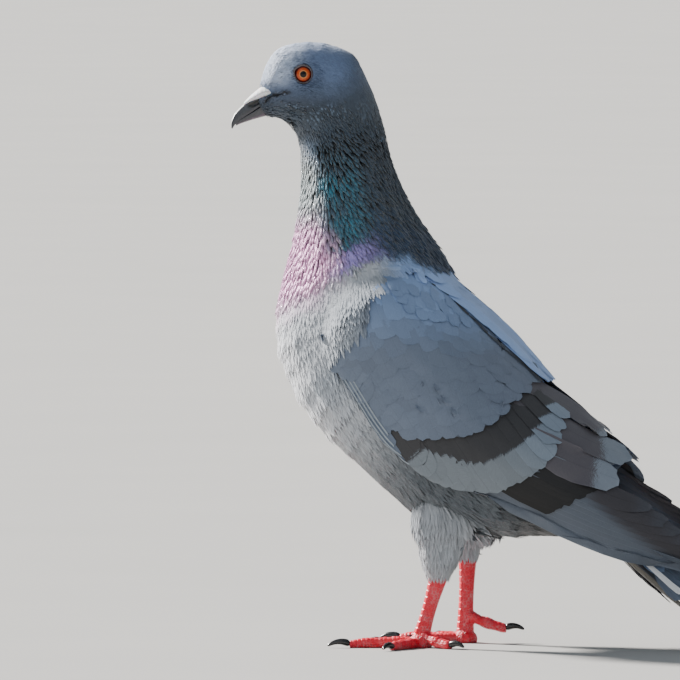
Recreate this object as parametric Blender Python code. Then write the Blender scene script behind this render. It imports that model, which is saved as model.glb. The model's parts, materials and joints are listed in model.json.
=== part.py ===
"""A life-size rock pigeon, standing, as a still museum model.

The bird faces -Y, its left side is +X, and the floor is z = 0. Sizes are in
millimetres and angles in degrees; points become metres as a mesh is made.
The head, neck, trunk and tail are slices of one form that is lofted from the
tail tip to the forehead, so they meet in flat faces a thin gap apart. Wings,
bill, cere and legs are lofts of their own, each cut where its neighbour lies.
"""

import math

import bmesh
import bpy
from mathutils import Matrix, Vector

MM = 0.001
GAP = 0.3  # left between two pieces that touch

# The whole form
HEAD_TURN = 14.0  # of the head to the bird's left
TURN_AXIS_Y = -45.4  # of the upright line that the head turns about
RING_POINTS = 20  # round the head, neck, trunk and tail
BODY_SQUARENESS = 2.15  # 2 is an ellipse; more is fuller at the corners

# Eyes
EYE_RADIUS = 3.6
EYE_DOME = 1.9  # how far the front of the eye bulges
EYE_FORWARD = 10.6  # from the head's turning axis
EYE_HEIGHT = 228.3
EYE_FRONT_X = 10.9  # half the distance between the two eyes' fronts
EYE_DEPTH = 5.4  # from the front of the eye to its flat back
EYE_POINTS = 16
SOCKET_REACH = 8.0  # how far the socket's cutter stands out past the eye

# Wings
WING_THICKNESS = (11.0, 4.6, 2.6)  # at the shoulder, where the primaries start, and at the tip
WING_EDGE = 0.9
WING_CLEARANCE = 0.75  # cut round a wing, whose thin edges need more than the gap
WING_ARC_POINTS = 8

# Legs and feet
STANCE_HALF_WIDTH = 18.0
PAD_RADIUS = 5.0
PAD_HEIGHT = 5.4
SOLE_RADIUS = 3.8
LEG_POINTS = 10
TOE_POINTS = 8
CLAW_POINTS = 6
RINGS_PER_JOINT = 3
CLAW_RADIUS = 1.35
CLAW_BEND = 62.0  # how far a claw curves over its length
CLAW_RISE = 26.0  # how steeply it leaves the toe


def station(belly_y, belly_z, back_y, back_z, half_width, arch=0.0, turn=0.0):
    """One cross-section, from its lowest point to its highest in the bird's middle plane."""
    return (belly_y, belly_z, back_y, back_z, half_width, arch, turn)


TAIL_STATIONS = [
    station(148.6, 7.0, 149.0, 8.0, 17.0, 1.4),
    station(144.0, 8.0, 144.8, 9.4, 24.0, 2.8),
    station(137.0, 10.4, 138.2, 12.2, 25.0, 3.8),
    station(128.0, 12.2, 131.0, 16.0, 24.2, 4.2),
    station(117.0, 11.4, 122.0, 21.0, 22.6, 2.2),
    station(104.5, 13.4, 112.0, 27.0, 20.8, 0.5),
    station(92.0, 21.5, 101.0, 34.0, 19.0),
    station(80.5, 30.8, 90.0, 42.0, 17.2),
    station(70.0, 39.5, 79.0, 51.5, 16.4),
]
TRUNK_STATIONS = [
    TAIL_STATIONS[-1],
    station(60.0, 43.3, 71.0, 61.5, 21.0),
    station(46.0, 44.3, 63.0, 73.0, 27.0),
    station(30.0, 44.4, 56.0, 85.0, 32.0),
    station(13.5, 45.6, 46.0, 97.0, 36.5),
    station(-8.4, 52.8, 35.0, 111.5, 39.8),
    station(-21.8, 63.0, 26.0, 121.0, 41.4),
    station(-35.6, 75.4, 16.5, 131.0, 42.2),
    station(-49.0, 88.4, 8.6, 141.0, 41.6),
    station(-60.2, 105.2, 3.2, 149.0, 38.8),
    station(-65.6, 122.6, 0.2, 156.2, 34.5),
    station(-65.4, 137.5, -4.4, 163.4, 29.2),
]
NECK_STATIONS = [
    TRUNK_STATIONS[-1],
    station(-62.6, 150.0, -9.4, 170.6, 25.2, turn=1.0),
    station(-59.4, 163.5, -14.0, 178.2, 22.2, turn=3.0),
    station(-57.5, 176.5, -18.2, 187.2, 19.4, turn=5.0),
    station(-56.8, 188.5, -21.2, 195.6, 17.0, turn=8.0),
    station(-57.5, 199.0, -23.0, 203.4, 15.2, turn=11.0),
]
HEAD_STATIONS = [
    NECK_STATIONS[-1],
    station(-58.5, 202.6, -25.0, 211.0, 14.5, turn=HEAD_TURN),
    station(-59.6, 204.9, -28.6, 221.8, 14.0, turn=HEAD_TURN),
    station(-60.9, 206.6, -37.0, 235.5, 12.8, turn=HEAD_TURN),
    station(-62.9, 208.6, -49.4, 240.8, 11.2, turn=HEAD_TURN),
    station(-65.6, 210.3, -60.9, 240.2, 9.6, turn=HEAD_TURN),
    station(-68.4, 211.1, -67.4, 237.1, 7.9, turn=HEAD_TURN),
    station(-71.2, 211.8, -71.2, 231.0, 5.8, turn=HEAD_TURN),
    station(-73.2, 213.8, -73.0, 225.2, 3.5, turn=HEAD_TURN),
    station(-74.0, 216.6, -73.9, 221.4, 1.5, turn=HEAD_TURN),
]


def wing_station(low, guide, high):
    """A section of the left wing: its lower edge, the point that its arc leans to, its upper edge."""
    return [Vector(low), Vector(guide), Vector(high)]


WING_STATIONS = [
    wing_station((32.0, -38.5, 134.0), (34.5, -35.8, 139.0), (29.0, -33.6, 140.5)),
    wing_station((35.5, -39.4, 124.0), (41.5, -33.0, 141.5), (24.0, -27.5, 147.5)),
    wing_station((39.0, -35.2, 114.0), (50.0, -24.5, 147.0), (16.0, -18.5, 152.0)),
    wing_station((41.5, -27.6, 104.4), (55.5, -12.5, 147.0), (11.0, -5.2, 151.8)),
    wing_station((43.0, -17.1, 88.4), (57.0, 1.5, 135.0), (9.0, 11.4, 140.0)),
    wing_station((43.0, -4.7, 75.5), (57.0, 17.0, 119.5), (8.0, 29.0, 124.0)),
    wing_station((42.0, 8.0, 67.0), (54.0, 31.6, 100.0), (7.0, 45.8, 104.8)),
    wing_station((40.0, 22.8, 61.8), (50.0, 46.8, 89.0), (6.0, 60.6, 92.6)),
    wing_station((37.0, 36.0, 57.5), (45.0, 58.0, 82.5), (5.6, 69.6, 85.0)),
    wing_station((33.5, 50.0, 51.2), (40.0, 68.0, 75.5), (5.5, 78.0, 77.2)),
]
PRIMARY_STATIONS = [
    WING_STATIONS[-1],
    wing_station((29.5, 68.1, 42.0), (34.0, 80.5, 66.0), (6.0, 88.4, 67.6)),
    wing_station((25.0, 84.6, 37.4), (28.0, 96.0, 56.0), (7.0, 102.0, 56.4)),
    wing_station((20.0, 106.0, 32.8), (22.0, 112.5, 45.4), (8.0, 115.8, 45.6)),
    wing_station((15.6, 124.5, 27.6), (17.0, 127.2, 35.0), (9.0, 128.2, 34.8)),
    wing_station((12.6, 137.6, 23.4), (13.4, 138.2, 26.0), (10.0, 138.4, 25.6)),
]

# Each leg: how far it stands forward or back, and where its feathers end
LEFT_LEG = {
    "side": 1.0,
    "foot_y": -3.8,
    "hock": (19.0, 3.9),
    "feather_end": 28.0,
    "toes": {"inner": -25.0, "middle": 18.0, "outer": 74.0, "hind": 150.0},
    "hind_rise": 0.0,
}
RIGHT_LEG = {
    "side": -1.0,
    "foot_y": 6.0,
    "hock": (18.6, 7.0),
    "feather_end": 36.0,
    "toes": {"inner": -30.0, "middle": 8.0, "outer": 52.0, "hind": 176.0},
    "hind_rise": 6.0,
}
TOE_SIZES = {  # length to the claw, radius at the foot, radius at the claw
    "inner": (20.0, 2.3, 1.9),
    "middle": (28.0, 2.5, 2.0),
    "outer": (22.5, 2.3, 1.9),
    "hind": (16.5, 2.4, 2.1),
}
CLAW_SIZES = {"inner": 7.2, "middle": 9.0, "outer": 7.2, "hind": 7.4}

FINISHES = {  # colour, roughness
    "head": ((0.115, 0.145, 0.185), 0.6),
    "neck": ((0.055, 0.100, 0.105), 0.45),
    "trunk": ((0.33, 0.34, 0.37), 0.7),
    "tail": ((0.09, 0.10, 0.12), 0.6),
    "wing": ((0.30, 0.33, 0.37), 0.6),
    "primaries": ((0.085, 0.095, 0.11), 0.55),
    "thigh": ((0.24, 0.26, 0.29), 0.75),
    "leg": ((0.62, 0.09, 0.10), 0.5),
    "claw": ((0.012, 0.012, 0.014), 0.2),
    "bill": ((0.035, 0.035, 0.04), 0.35),
    "cere": ((0.82, 0.81, 0.80), 0.65),
    "eye": ((0.72, 0.16, 0.03), 0.08),
}


# ---------------------------------------------------------------- mesh helpers


def finish_of(name, kind):
    colour, roughness = FINISHES[kind]
    material = bpy.data.materials.new(name)
    material.use_nodes = True
    shader = material.node_tree.nodes["Principled BSDF"]
    shader.inputs["Base Color"].default_value = (*colour, 1.0)
    shader.inputs["Roughness"].default_value = roughness
    shader.inputs["Metallic"].default_value = 0.0
    material.diffuse_color = (*colour, 1.0)
    return material


def new_object(name, mesh, kind=None):
    """Link a mesh; without a finish it is a cutter, which the model leaves out."""
    thing = bpy.data.objects.new(name, mesh)
    bpy.context.scene.collection.objects.link(thing)
    if kind is None:
        thing.hide_render = True
        thing.display_type = "WIRE"
    else:
        mesh.materials.append(finish_of(name, kind))
        mesh.shade_smooth()
        mesh.set_sharp_from_angle(angle=math.radians(50))
    return thing


def lofted(rings):
    """A closed mesh through rings of equally many points, with flat ends."""
    shape = bmesh.new()
    loops = [[shape.verts.new(point) for point in ring] for ring in rings]
    count = len(rings[0])
    for low, high in zip(loops, loops[1:]):
        for i in range(count):
            j = (i + 1) % count
            shape.faces.new((low[i], low[j], high[j], high[i]))
    shape.faces.new(list(reversed(loops[0])))
    shape.faces.new(loops[-1])
    bmesh.ops.triangulate(shape, faces=[face for face in shape.faces if len(face.verts) > 4])
    bmesh.ops.recalc_face_normals(shape, faces=shape.faces)
    if shape.calc_volume(signed=True) < 0:
        bmesh.ops.reverse_faces(shape, faces=shape.faces)
    return shape


def to_mesh(shape, name):
    """Write a shape, drawn in millimetres, into a mesh in metres."""
    bmesh.ops.scale(shape, vec=(MM, MM, MM), verts=shape.verts)
    mesh = bpy.data.meshes.new(name)
    shape.to_mesh(mesh)
    shape.free()
    return mesh


def build(name, rings, kind):
    return new_object(name, to_mesh(lofted(rings), name), kind)


def swollen(thing, by=GAP):
    """A cutter: a copy of a piece with its surface moved out by the gap."""
    shape = bmesh.new()
    shape.from_mesh(thing.data)
    shape.normal_update()
    moves = [vert.normal * (by * MM) for vert in shape.verts]
    for vert, move in zip(shape.verts, moves):
        vert.co += move
    mesh = bpy.data.meshes.new("cutter_" + thing.name)
    shape.to_mesh(mesh)
    shape.free()
    return new_object("cutter_" + thing.name, mesh)


def islands(shape):
    """The separate connected parts of a mesh, as lists of vertices."""
    found, seen = [], set()
    for start in shape.verts:
        if start in seen:
            continue
        seen.add(start)
        part, queue = [], [start]
        while queue:
            vert = queue.pop()
            part.append(vert)
            for edge in vert.link_edges:
                other = edge.other_vert(vert)
                if other not in seen:
                    seen.add(other)
                    queue.append(other)
        found.append(part)
    return found


def carve(thing, cutters):
    """Cut the cutters out of a piece and keep its main body, without the crumbs."""
    for cutter in cutters:
        modifier = thing.modifiers.new("cut", "BOOLEAN")
        modifier.operation = "DIFFERENCE"
        modifier.solver = "EXACT"
        modifier.object = cutter
    graph = bpy.context.evaluated_depsgraph_get()
    shape = bmesh.new()
    shape.from_mesh(thing.evaluated_get(graph).to_mesh())
    parts = sorted(islands(shape), key=len)
    for part in parts[:-1]:
        bmesh.ops.delete(shape, geom=part, context="VERTS")
    bmesh.ops.remove_doubles(shape, verts=shape.verts, dist=0.02 * MM)
    bmesh.ops.triangulate(shape, faces=shape.faces)
    thing.modifiers.clear()
    shape.to_mesh(thing.data)
    shape.free()


def stand_back(rings, end):
    """Move an end ring half a gap towards its inner neighbour, square to its own plane."""
    ring, inner = rings[end], rings[1 if end == 0 else end - 1]
    middle = sum(ring, Vector()) / len(ring)
    spokes = [point - middle for point in ring]
    normal = sum((a.cross(b) for a, b in zip(spokes, spokes[1:] + spokes[:1])), Vector()).normalized()
    inward = sum(inner, Vector()) / len(inner) - middle
    step = normal * math.copysign(GAP / 2, inward.dot(normal))
    rings[end] = [point + step for point in ring]


def smooth_between(rows, steps):
    """Rows of numbers with more rows between them, on a curve through every one."""

    def between(a, b, c, d, t):
        linear, square, cube = c - a, 2 * a - 5 * b + 4 * c - d, 3 * b - a - 3 * c + d
        return b + 0.5 * t * (linear + t * (square + t * cube))

    out = []
    last = len(rows) - 1
    for i in range(last):
        before, after = rows[max(i - 1, 0)], rows[min(i + 2, last)]
        for step in range(steps):
            columns = zip(before, rows[i], rows[i + 1], after)
            out.append(tuple(between(*column, step / steps) for column in columns))
    return out + [tuple(rows[last])]


def oval(count, across, along, squareness=2.0):
    """Points of a superellipse, as (sideways, upwards) pairs, anticlockwise from the side."""
    points = []
    for i in range(count):
        angle = 2 * math.pi * i / count
        c, s = math.cos(angle), math.sin(angle)
        power = 2.0 / squareness
        points.append((across * math.copysign(abs(c) ** power, c), along * math.copysign(abs(s) ** power, s)))
    return points


# ------------------------------------------------- head, neck, trunk and tail


def turned(point, degrees):
    """A point turned about the head's upright axis, towards the bird's left."""
    axis = Vector((0.0, TURN_AXIS_Y, 0.0))
    return Matrix.Rotation(math.radians(degrees), 3, "Z") @ (point - axis) + axis


def body_ring(row):
    belly_y, belly_z, back_y, back_z, half_width, arch, turn = row
    belly, back = Vector((0.0, belly_y, belly_z)), Vector((0.0, back_y, back_z))
    middle, rise = (belly + back) / 2, (back - belly) / 2
    ring = []
    for across, along in oval(RING_POINTS, half_width, 1.0, BODY_SQUARENESS):
        drop = arch * (across / half_width) ** 2
        point = middle + Vector((across, 0.0, -drop)) + rise * along
        ring.append(turned(point, turn))
    return ring


def body_slice(name, stations, steps, kind, meeting_ends=(0, -1)):
    """One length of the body. An end that meets a neighbour stands back by half a gap."""
    rings = [body_ring(row) for row in smooth_between(stations, steps)]
    for end in meeting_ends:
        stand_back(rings, end)
    return build(name, rings, kind)


# ------------------------------------------------------------- bill and eyes


def face_point(forward, sideways, height):
    """A point on the turned head, measured forward from the turning axis."""
    return turned(Vector((sideways, TURN_AXIS_Y - forward, height)), HEAD_TURN)


def bill_half(name, top, bottom, half_widths):
    """One half of the bill: its upper line, its lower line and its half width, base to tip."""
    rows = [(*up, *down, width) for up, down, width in zip(top, bottom, half_widths)]
    rings = []
    for up_f, up_z, down_f, down_z, width in smooth_between(rows, 2):
        ring = []
        for across, along in oval(LEG_POINTS, width, 1.0):
            share = (along + 1) / 2
            forward = down_f + (up_f - down_f) * share
            height = down_z + (up_z - down_z) * share
            ring.append(face_point(forward, across, height))
        rings.append(ring)
    return build(name, rings, "bill")


def make_bill():
    """Both halves of the bill, closed, the upper one hooked over the lower at the tip."""
    ridge = [(21, 225), (26, 223.2), (30.6, 219.6), (35, 215.8), (38, 212.4), (39.5, 208.8), (39.5, 206.6)]
    gape = [(19, 219.6), (23.7, 218.2), (28.6, 214.4), (33.2, 211.4), (36.2, 209.4), (38, 207.8), (39, 206.2)]
    upper = bill_half("bill_upper", ridge, gape, [4.4, 4.0, 3.4, 2.7, 2.0, 1.2, 0.5])
    lower_edge = [(forward - 0.2, height - 0.5) for forward, height in gape[:-1]]
    chin = [(18, 213), (24.5, 211.6), (29.6, 210.3), (34, 208.7), (36.4, 207.6), (37.7, 206.8)]
    lower = bill_half("bill_lower", lower_edge, chin, [4.2, 3.8, 3.1, 2.3, 1.5, 0.6])
    return upper, lower


def make_cere():
    """Two swollen lobes over the nostrils, joined in the middle and thinning down the bill."""
    rows = [  # forward, height, half width, half height
        (23.6, 223.0, 2.6, 1.2),
        (25.0, 222.2, 4.4, 2.4),
        (27.2, 220.8, 4.9, 3.0),
        (29.6, 219.0, 4.3, 2.6),
        (32.0, 217.2, 3.2, 1.9),
        (34.2, 215.6, 2.0, 1.2),
    ]
    slope = math.atan2(rows[0][1] - rows[-1][1], rows[-1][0] - rows[0][0])
    rings = []
    for forward, height, half_width, half_height in rows:
        ring = []
        for across, along in oval(10, half_width, half_height, 2.3):
            dip = 0.22 * half_height * math.exp(-((across / 1.1) ** 2)) if along > 0 else 0.0
            lift = along - dip
            ring.append(face_point(forward + lift * math.sin(slope), across, height + lift * math.cos(slope)))
        rings.append(ring)
    return build("cere", rings, "cere")


def eye_rings(side, radius, front, depth):
    """Rings of a short round plug with a domed front, lying across the head."""
    rim = front - EYE_DOME
    dome = [math.radians(angle) for angle in (84, 60, 36, 14)]
    profile = [(rim + EYE_DOME * math.sin(angle), radius * math.cos(angle)) for angle in dome]
    profile += [(rim, radius), (front - depth, radius)]
    rings = []
    for sideways, size in profile:
        circle = oval(EYE_POINTS, size, size)
        rings.append([face_point(EYE_FORWARD + f, side * sideways, EYE_HEIGHT + h) for f, h in circle])
    return rings


def make_head():
    head = body_slice("head", HEAD_STATIONS, 2, "head", meeting_ends=(0,))
    sockets = []
    for side, word in ((1.0, "left"), (-1.0, "right")):
        build("eye_" + word, eye_rings(side, EYE_RADIUS, EYE_FRONT_X, EYE_DEPTH), "eye")
        reach = SOCKET_REACH + EYE_DEPTH + GAP
        socket = lofted(eye_rings(side, EYE_RADIUS + GAP, EYE_FRONT_X + SOCKET_REACH, reach))
        sockets.append(new_object("cutter_socket_" + word, to_mesh(socket, "cutter_socket_" + word)))
    whole_head = swollen(head)
    upper, lower = make_bill()
    cere = make_cere()
    carve(upper, [whole_head])
    upper_cutter = swollen(upper)
    carve(lower, [whole_head, upper_cutter])
    carve(cere, [whole_head, upper_cutter])
    carve(head, sockets)


# ---------------------------------------------------------------------- wings


def arc_point(low, guide, high, share):
    return low * (1 - share) ** 2 + guide * (2 * share * (1 - share)) + high * share**2


def wing_ring(low, guide, high, thickness, side):
    """A crescent: the outer arc from lower to upper edge, and back along the inner arc."""
    middle = (low + high) / 2
    inward = (middle - guide).normalized()
    ring = []
    for i in range(WING_ARC_POINTS):
        ring.append(arc_point(low, guide, high, i / (WING_ARC_POINTS - 1)))
    inner = [low + inward * WING_EDGE, guide + inward * thickness, high + inward * WING_EDGE]
    for i in range(WING_ARC_POINTS):
        ring.append(arc_point(*inner, 1 - i / (WING_ARC_POINTS - 1)))
    return [Vector((side * point.x, point.y, point.z)) for point in ring]


def wing_slice(name, stations, thick, thin, side, kind, meeting_end):
    """One length of a folded wing, whose thickness falls evenly from one end to the other."""
    rows = []
    for i, (low, guide, high) in enumerate(stations):
        thickness = thick + (thin - thick) * i / (len(stations) - 1)
        rows.append((*low, *guide, *high, thickness))
    rings = []
    for row in smooth_between(rows, 2):
        rings.append(wing_ring(Vector(row[0:3]), Vector(row[3:6]), Vector(row[6:9]), row[9], side))
    stand_back(rings, meeting_end)
    return build(name, rings, kind)


def make_wings():
    """Both folded wings, each as its covert-clad body and its bundle of primaries."""
    shoulder, wrist, tip = WING_THICKNESS
    pieces = []
    for side, word in ((1.0, "left"), (-1.0, "right")):
        pieces.append(wing_slice("wing_" + word, WING_STATIONS, shoulder, wrist, side, "wing", -1))
        pieces.append(wing_slice("primaries_" + word, PRIMARY_STATIONS, wrist, tip, side, "primaries", 0))
    return pieces


# ----------------------------------------------------------------------- legs


def upright_ring(count, x, y, z, half_x, half_y, squareness=2.0):
    return [Vector((x + a, y + b, z)) for a, b in oval(count, half_x, half_y, squareness)]


def make_thigh(leg, word):
    """The feathered part of a leg, wide where it leaves the belly."""
    hock_x, hock_y = leg["hock"]
    end = leg["feather_end"]
    rows = [  # height, distance back from the hock, half width, half depth
        (end, 0.0, 4.5, 4.7),
        (end + 2.5, 0.1, 5.4, 5.6),
        (end + 6.5, 0.6, 6.6, 7.2),
        (44.5, 1.6, 8.4, 10.4),
        (51.0, 2.6, 10.4, 13.4),
        (60.0, 4.0, 11.5, 15.5),
    ]
    rings = []
    for height, back, half_x, half_y in smooth_between(rows, 2):
        rings.append(upright_ring(LEG_POINTS, leg["side"] * hock_x, hock_y + back, height, half_x, half_y))
    return build("thigh_" + word, rings, "thigh")


def make_shank(leg, word):
    """The bare shank, from the hock down to the foot, knobbed at both ends."""
    hock_x, hock_y = leg["hock"]
    top = leg["feather_end"] - GAP
    foot = Vector((STANCE_HALF_WIDTH, leg["foot_y"], PAD_HEIGHT * 0.6))
    head = Vector((hock_x, hock_y, top))
    rows = [  # share of the way up, half width, half depth
        (0.0, 2.9, 3.5),
        (0.14, 2.6, 3.3),
        (0.34, 2.3, 2.9),
        (0.60, 2.3, 2.9),
        (0.82, 2.6, 3.3),
        (1.0, 3.0, 3.7),
    ]
    rings = []
    for share, half_x, half_y in smooth_between(rows, 2):
        spot = foot.lerp(head, share)
        rings.append(upright_ring(LEG_POINTS, leg["side"] * spot.x, spot.y, spot.z, half_x, half_y))
    return build("shank_" + word, rings, "leg")


def make_pad(leg, word):
    """The ball of the foot, with a flat sole."""
    rings = []
    for share in (0.0, 0.05, 0.3, 0.6, 0.85, 1.0):  # of its height
        size = PAD_RADIUS * math.sqrt(1.0 - ((share - 0.3) / 0.72) ** 2)
        if share == 0.0:
            size = SOLE_RADIUS
        centre_x = leg["side"] * STANCE_HALF_WIDTH
        rings.append(upright_ring(12, centre_x, leg["foot_y"], PAD_HEIGHT * share, size, size))
    return build("foot_pad_" + word, rings, "leg")


def toe_ring(count, centre, heading, tilt, radius):
    """A ring across a toe, flattened underneath where it would pass the floor."""
    sideways = Vector((math.cos(heading), math.sin(heading), 0.0))
    ahead = Vector((math.sin(heading), -math.cos(heading), 0.0))
    up = Vector((0.0, 0.0, 1.0)) * math.cos(tilt) + ahead * math.sin(tilt)
    ring = []
    for across, along in oval(count, radius, radius):
        point = centre + sideways * across + up * along
        point.z = max(point.z, 0.0)
        ring.append(point)
    return ring


def make_toe(leg, word, which):
    """A toe with its joints as swellings, from inside the foot's ball to its claw."""
    length, thick, thin = TOE_SIZES[which]
    heading = math.radians(leg["toes"][which]) * leg["side"]
    ahead = Vector((math.sin(heading), -math.cos(heading), 0.0))
    rise = leg["hind_rise"] if which == "hind" else 0.0
    start = Vector((leg["side"] * STANCE_HALF_WIDTH, leg["foot_y"], 0.0)) + ahead * 1.5
    joints = 2 if which == "hind" else 3
    rings, steps = [], RINGS_PER_JOINT * joints
    for step in range(steps + 1):
        share = step / steps
        radius = thick + (thin - thick) * share
        radius *= 1.0 - 0.10 * (0.5 - 0.5 * math.cos(2 * math.pi * joints * share))
        if step == steps:
            radius *= 0.72  # the end that the claw grows from
        base_height = radius * 0.86 + rise * (1.0 - 0.25 * share)
        if which == "hind":
            base_height += 3.2 * (1.0 - share) ** 2
        centre = start + ahead * ((length - 1.5) * share) + Vector((0.0, 0.0, base_height))
        rings.append(toe_ring(TOE_POINTS, centre, heading, 0.0, radius))
    toe = build("toe_" + which + "_" + word, rings, "leg")
    tip = start + ahead * (length - 1.5 + GAP)
    tip.z = thin * 0.86 + rise * 0.75
    return toe, make_claw(leg, word, which, tip, heading)


def make_claw(leg, word, which, tip, heading):
    """A claw that curves down from the toe's end, thinning to a point above the floor."""
    length = CLAW_SIZES[which]
    bend, rise = math.radians(CLAW_BEND), math.radians(CLAW_RISE)
    ahead = Vector((math.sin(heading), -math.cos(heading), 0.0))
    radius_of_bend = length / bend
    rings, steps = [], 5
    for step in range(steps + 1):
        share = step / steps
        angle = bend * share - rise
        forward = radius_of_bend * (math.sin(angle) + math.sin(rise))
        up = radius_of_bend * (math.cos(angle) - math.cos(rise))
        centre = tip + ahead * forward + Vector((0.0, 0.0, up))
        radius = CLAW_RADIUS * (1.0 - 0.86 * share**1.2)
        centre.z = max(centre.z, radius + 0.12)
        rings.append(toe_ring(CLAW_POINTS, centre, heading, angle if step else 0.0, radius))
    return build("claw_" + which + "_" + word, rings, "claw")


def make_leg(leg, word, body_cutters):
    thigh = make_thigh(leg, word)
    carve(thigh, body_cutters)
    shank = make_shank(leg, word)
    pad = make_pad(leg, word)
    shank_cutter = swollen(shank)
    carve(pad, [shank_cutter])
    cutters = [swollen(pad), shank_cutter]
    for which in ("middle", "inner", "outer", "hind"):
        toe, claw = make_toe(leg, word, which)
        carve(toe, cutters)
        if which != "hind":
            cutters.append(swollen(toe))


# ---------------------------------------------------------------------- build


def clear_scene():
    for thing in list(bpy.data.objects):
        bpy.data.objects.remove(thing, do_unlink=True)


def move_to_origin():
    """Put the middle of the model's box over the origin, with the soles at z = 0."""
    pieces = [thing for thing in bpy.data.objects if not thing.hide_render]
    corners = [vert.co for thing in pieces for vert in thing.data.vertices]
    middle = Vector([(min(c[i] for c in corners) + max(c[i] for c in corners)) / 2 for i in range(3)])
    middle.z = min(c.z for c in corners)
    for thing in pieces:
        thing.data.transform(Matrix.Translation(-middle))


def main():
    clear_scene()
    make_head()
    body_slice("neck", NECK_STATIONS, 2, "neck")
    trunk = body_slice("trunk", TRUNK_STATIONS, 2, "trunk")
    body_slice("tail", TAIL_STATIONS, 1, "tail", meeting_ends=(-1,))
    wings = make_wings()
    trunk_cutter = swollen(trunk)
    carve(trunk, [swollen(piece, WING_CLEARANCE) for piece in wings])
    make_leg(LEFT_LEG, "left", [trunk_cutter])
    make_leg(RIGHT_LEG, "right", [trunk_cutter])
    for cutter in [thing for thing in bpy.data.objects if thing.hide_render]:
        bpy.data.objects.remove(cutter, do_unlink=True)
    move_to_origin()


main()
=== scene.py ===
"""Skin, feathers, bill, eyes and feet of a life-size rock pigeon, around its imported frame.

The bird faces -Y, its left side is +X and the floor is z = 0. Shapes are worked out in
millimetres, in the bird's own measures, and moved to the frame as a mesh is written.
Small feathers are spread over the body by one Geometry Nodes tree. Wing and tail
feathers are laid one by one along their own paths, each a thin closed vane.
"""

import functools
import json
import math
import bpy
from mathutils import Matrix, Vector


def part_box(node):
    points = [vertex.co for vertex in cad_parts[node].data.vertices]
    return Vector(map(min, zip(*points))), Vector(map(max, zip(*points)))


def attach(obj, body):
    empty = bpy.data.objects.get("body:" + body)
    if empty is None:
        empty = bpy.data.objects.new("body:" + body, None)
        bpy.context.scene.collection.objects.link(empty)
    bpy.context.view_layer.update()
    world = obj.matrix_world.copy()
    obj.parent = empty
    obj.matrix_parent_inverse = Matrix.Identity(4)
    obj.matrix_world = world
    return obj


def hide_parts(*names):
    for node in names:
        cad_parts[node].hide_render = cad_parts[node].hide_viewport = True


bl_info = {
    "name": "Rock Pigeon Model",
    "version": (1, 0, 0),
    "blender": (4, 5, 0),
    "location": "3D View > Sidebar > Pigeon",
    "description": "Skin, feathers, bill, eyes and feet of a life-size rock pigeon",
    "category": "Object",
}

import types

import bmesh
import bpy
import numpy as np
from bpy.props import FloatProperty, FloatVectorProperty, IntProperty, PointerProperty
from mathutils import Vector, noise
from mathutils.bvhtree import BVHTree
from mathutils.kdtree import KDTree

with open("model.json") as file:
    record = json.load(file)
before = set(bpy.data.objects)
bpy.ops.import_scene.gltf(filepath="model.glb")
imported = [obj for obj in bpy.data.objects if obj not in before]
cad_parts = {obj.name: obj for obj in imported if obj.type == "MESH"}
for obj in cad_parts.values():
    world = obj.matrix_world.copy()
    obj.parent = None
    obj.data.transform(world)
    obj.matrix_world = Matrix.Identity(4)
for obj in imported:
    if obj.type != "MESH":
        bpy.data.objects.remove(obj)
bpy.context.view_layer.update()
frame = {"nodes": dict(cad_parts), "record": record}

MM = 0.001
LEFT_SOLE = np.array([18.0, -3.8, 0.0])  # the left sole's middle in the bird's own measures
ORIGIN = np.array(frame["record"]["mounts"][0]["pos_m"]) - LEFT_SOLE * MM
BODY = "root"
SIDES = (("left", 1.0), ("right", -1.0))

HEAD_TURN = 14.0  # degrees, towards the bird's left
TURN_AXIS_Y = -45.4
EYE_FORWARD, EYE_HEIGHT, EYE_FRONT_X = 10.6, 228.3, 10.9
EYE_RADIUS, EYE_DOME = 3.6, 1.9
LEFT, UP = np.array([1.0, 0.0, 0.0]), np.array([0.0, 0.0, 1.0])
MERGE = 0.005 * MM  # corners of the frame's solids that lie closer than this are one
SHARP_ANGLE = 1.2  # radians: edges that turn more stay sharp when a feather is shaded

# The bird's middle line from the bill to the tail: y, z, turn
SPINE = [
    (-74.0, 219.0, 14.0), (-66.0, 224.0, 14.0), (-56.2, 224.7, 14.0), (-49.0, 221.0, 14.0), (-44.1, 213.4, 14.0),
    (-40.3, 201.2, 11.0), (-37.9, 181.9, 5.0), (-36.0, 160.3, 1.0), (-32.7, 139.4, 0.0), (-20.2, 114.7, 0.0),
    (2.1, 92.0, 0.0), (29.8, 71.3, 0.0), (54.5, 58.7, 0.0), (74.5, 45.5, 0.0), (96.5, 27.8, 0.0),
    (119.5, 16.5, 0.0), (150.0, 7.0, 0.0),
]
# Half the neck's depth at each height
NECK_HALF_DEPTH = ([127, 139, 150, 160, 171, 182, 192, 205], [38.5, 37, 33, 28.5, 24, 20.4, 18.2, 17.4])

# How far back the breast's plumage reaches over the wing: z, y
SHOULDER = [
    (92, -40), (112, -40), (116, -36), (120, -30), (125, -25), (131, -22.5), (139.6, -22), (146, -16.5),
    (152.5, -9), (156, -4), (160, 4),
]

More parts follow.
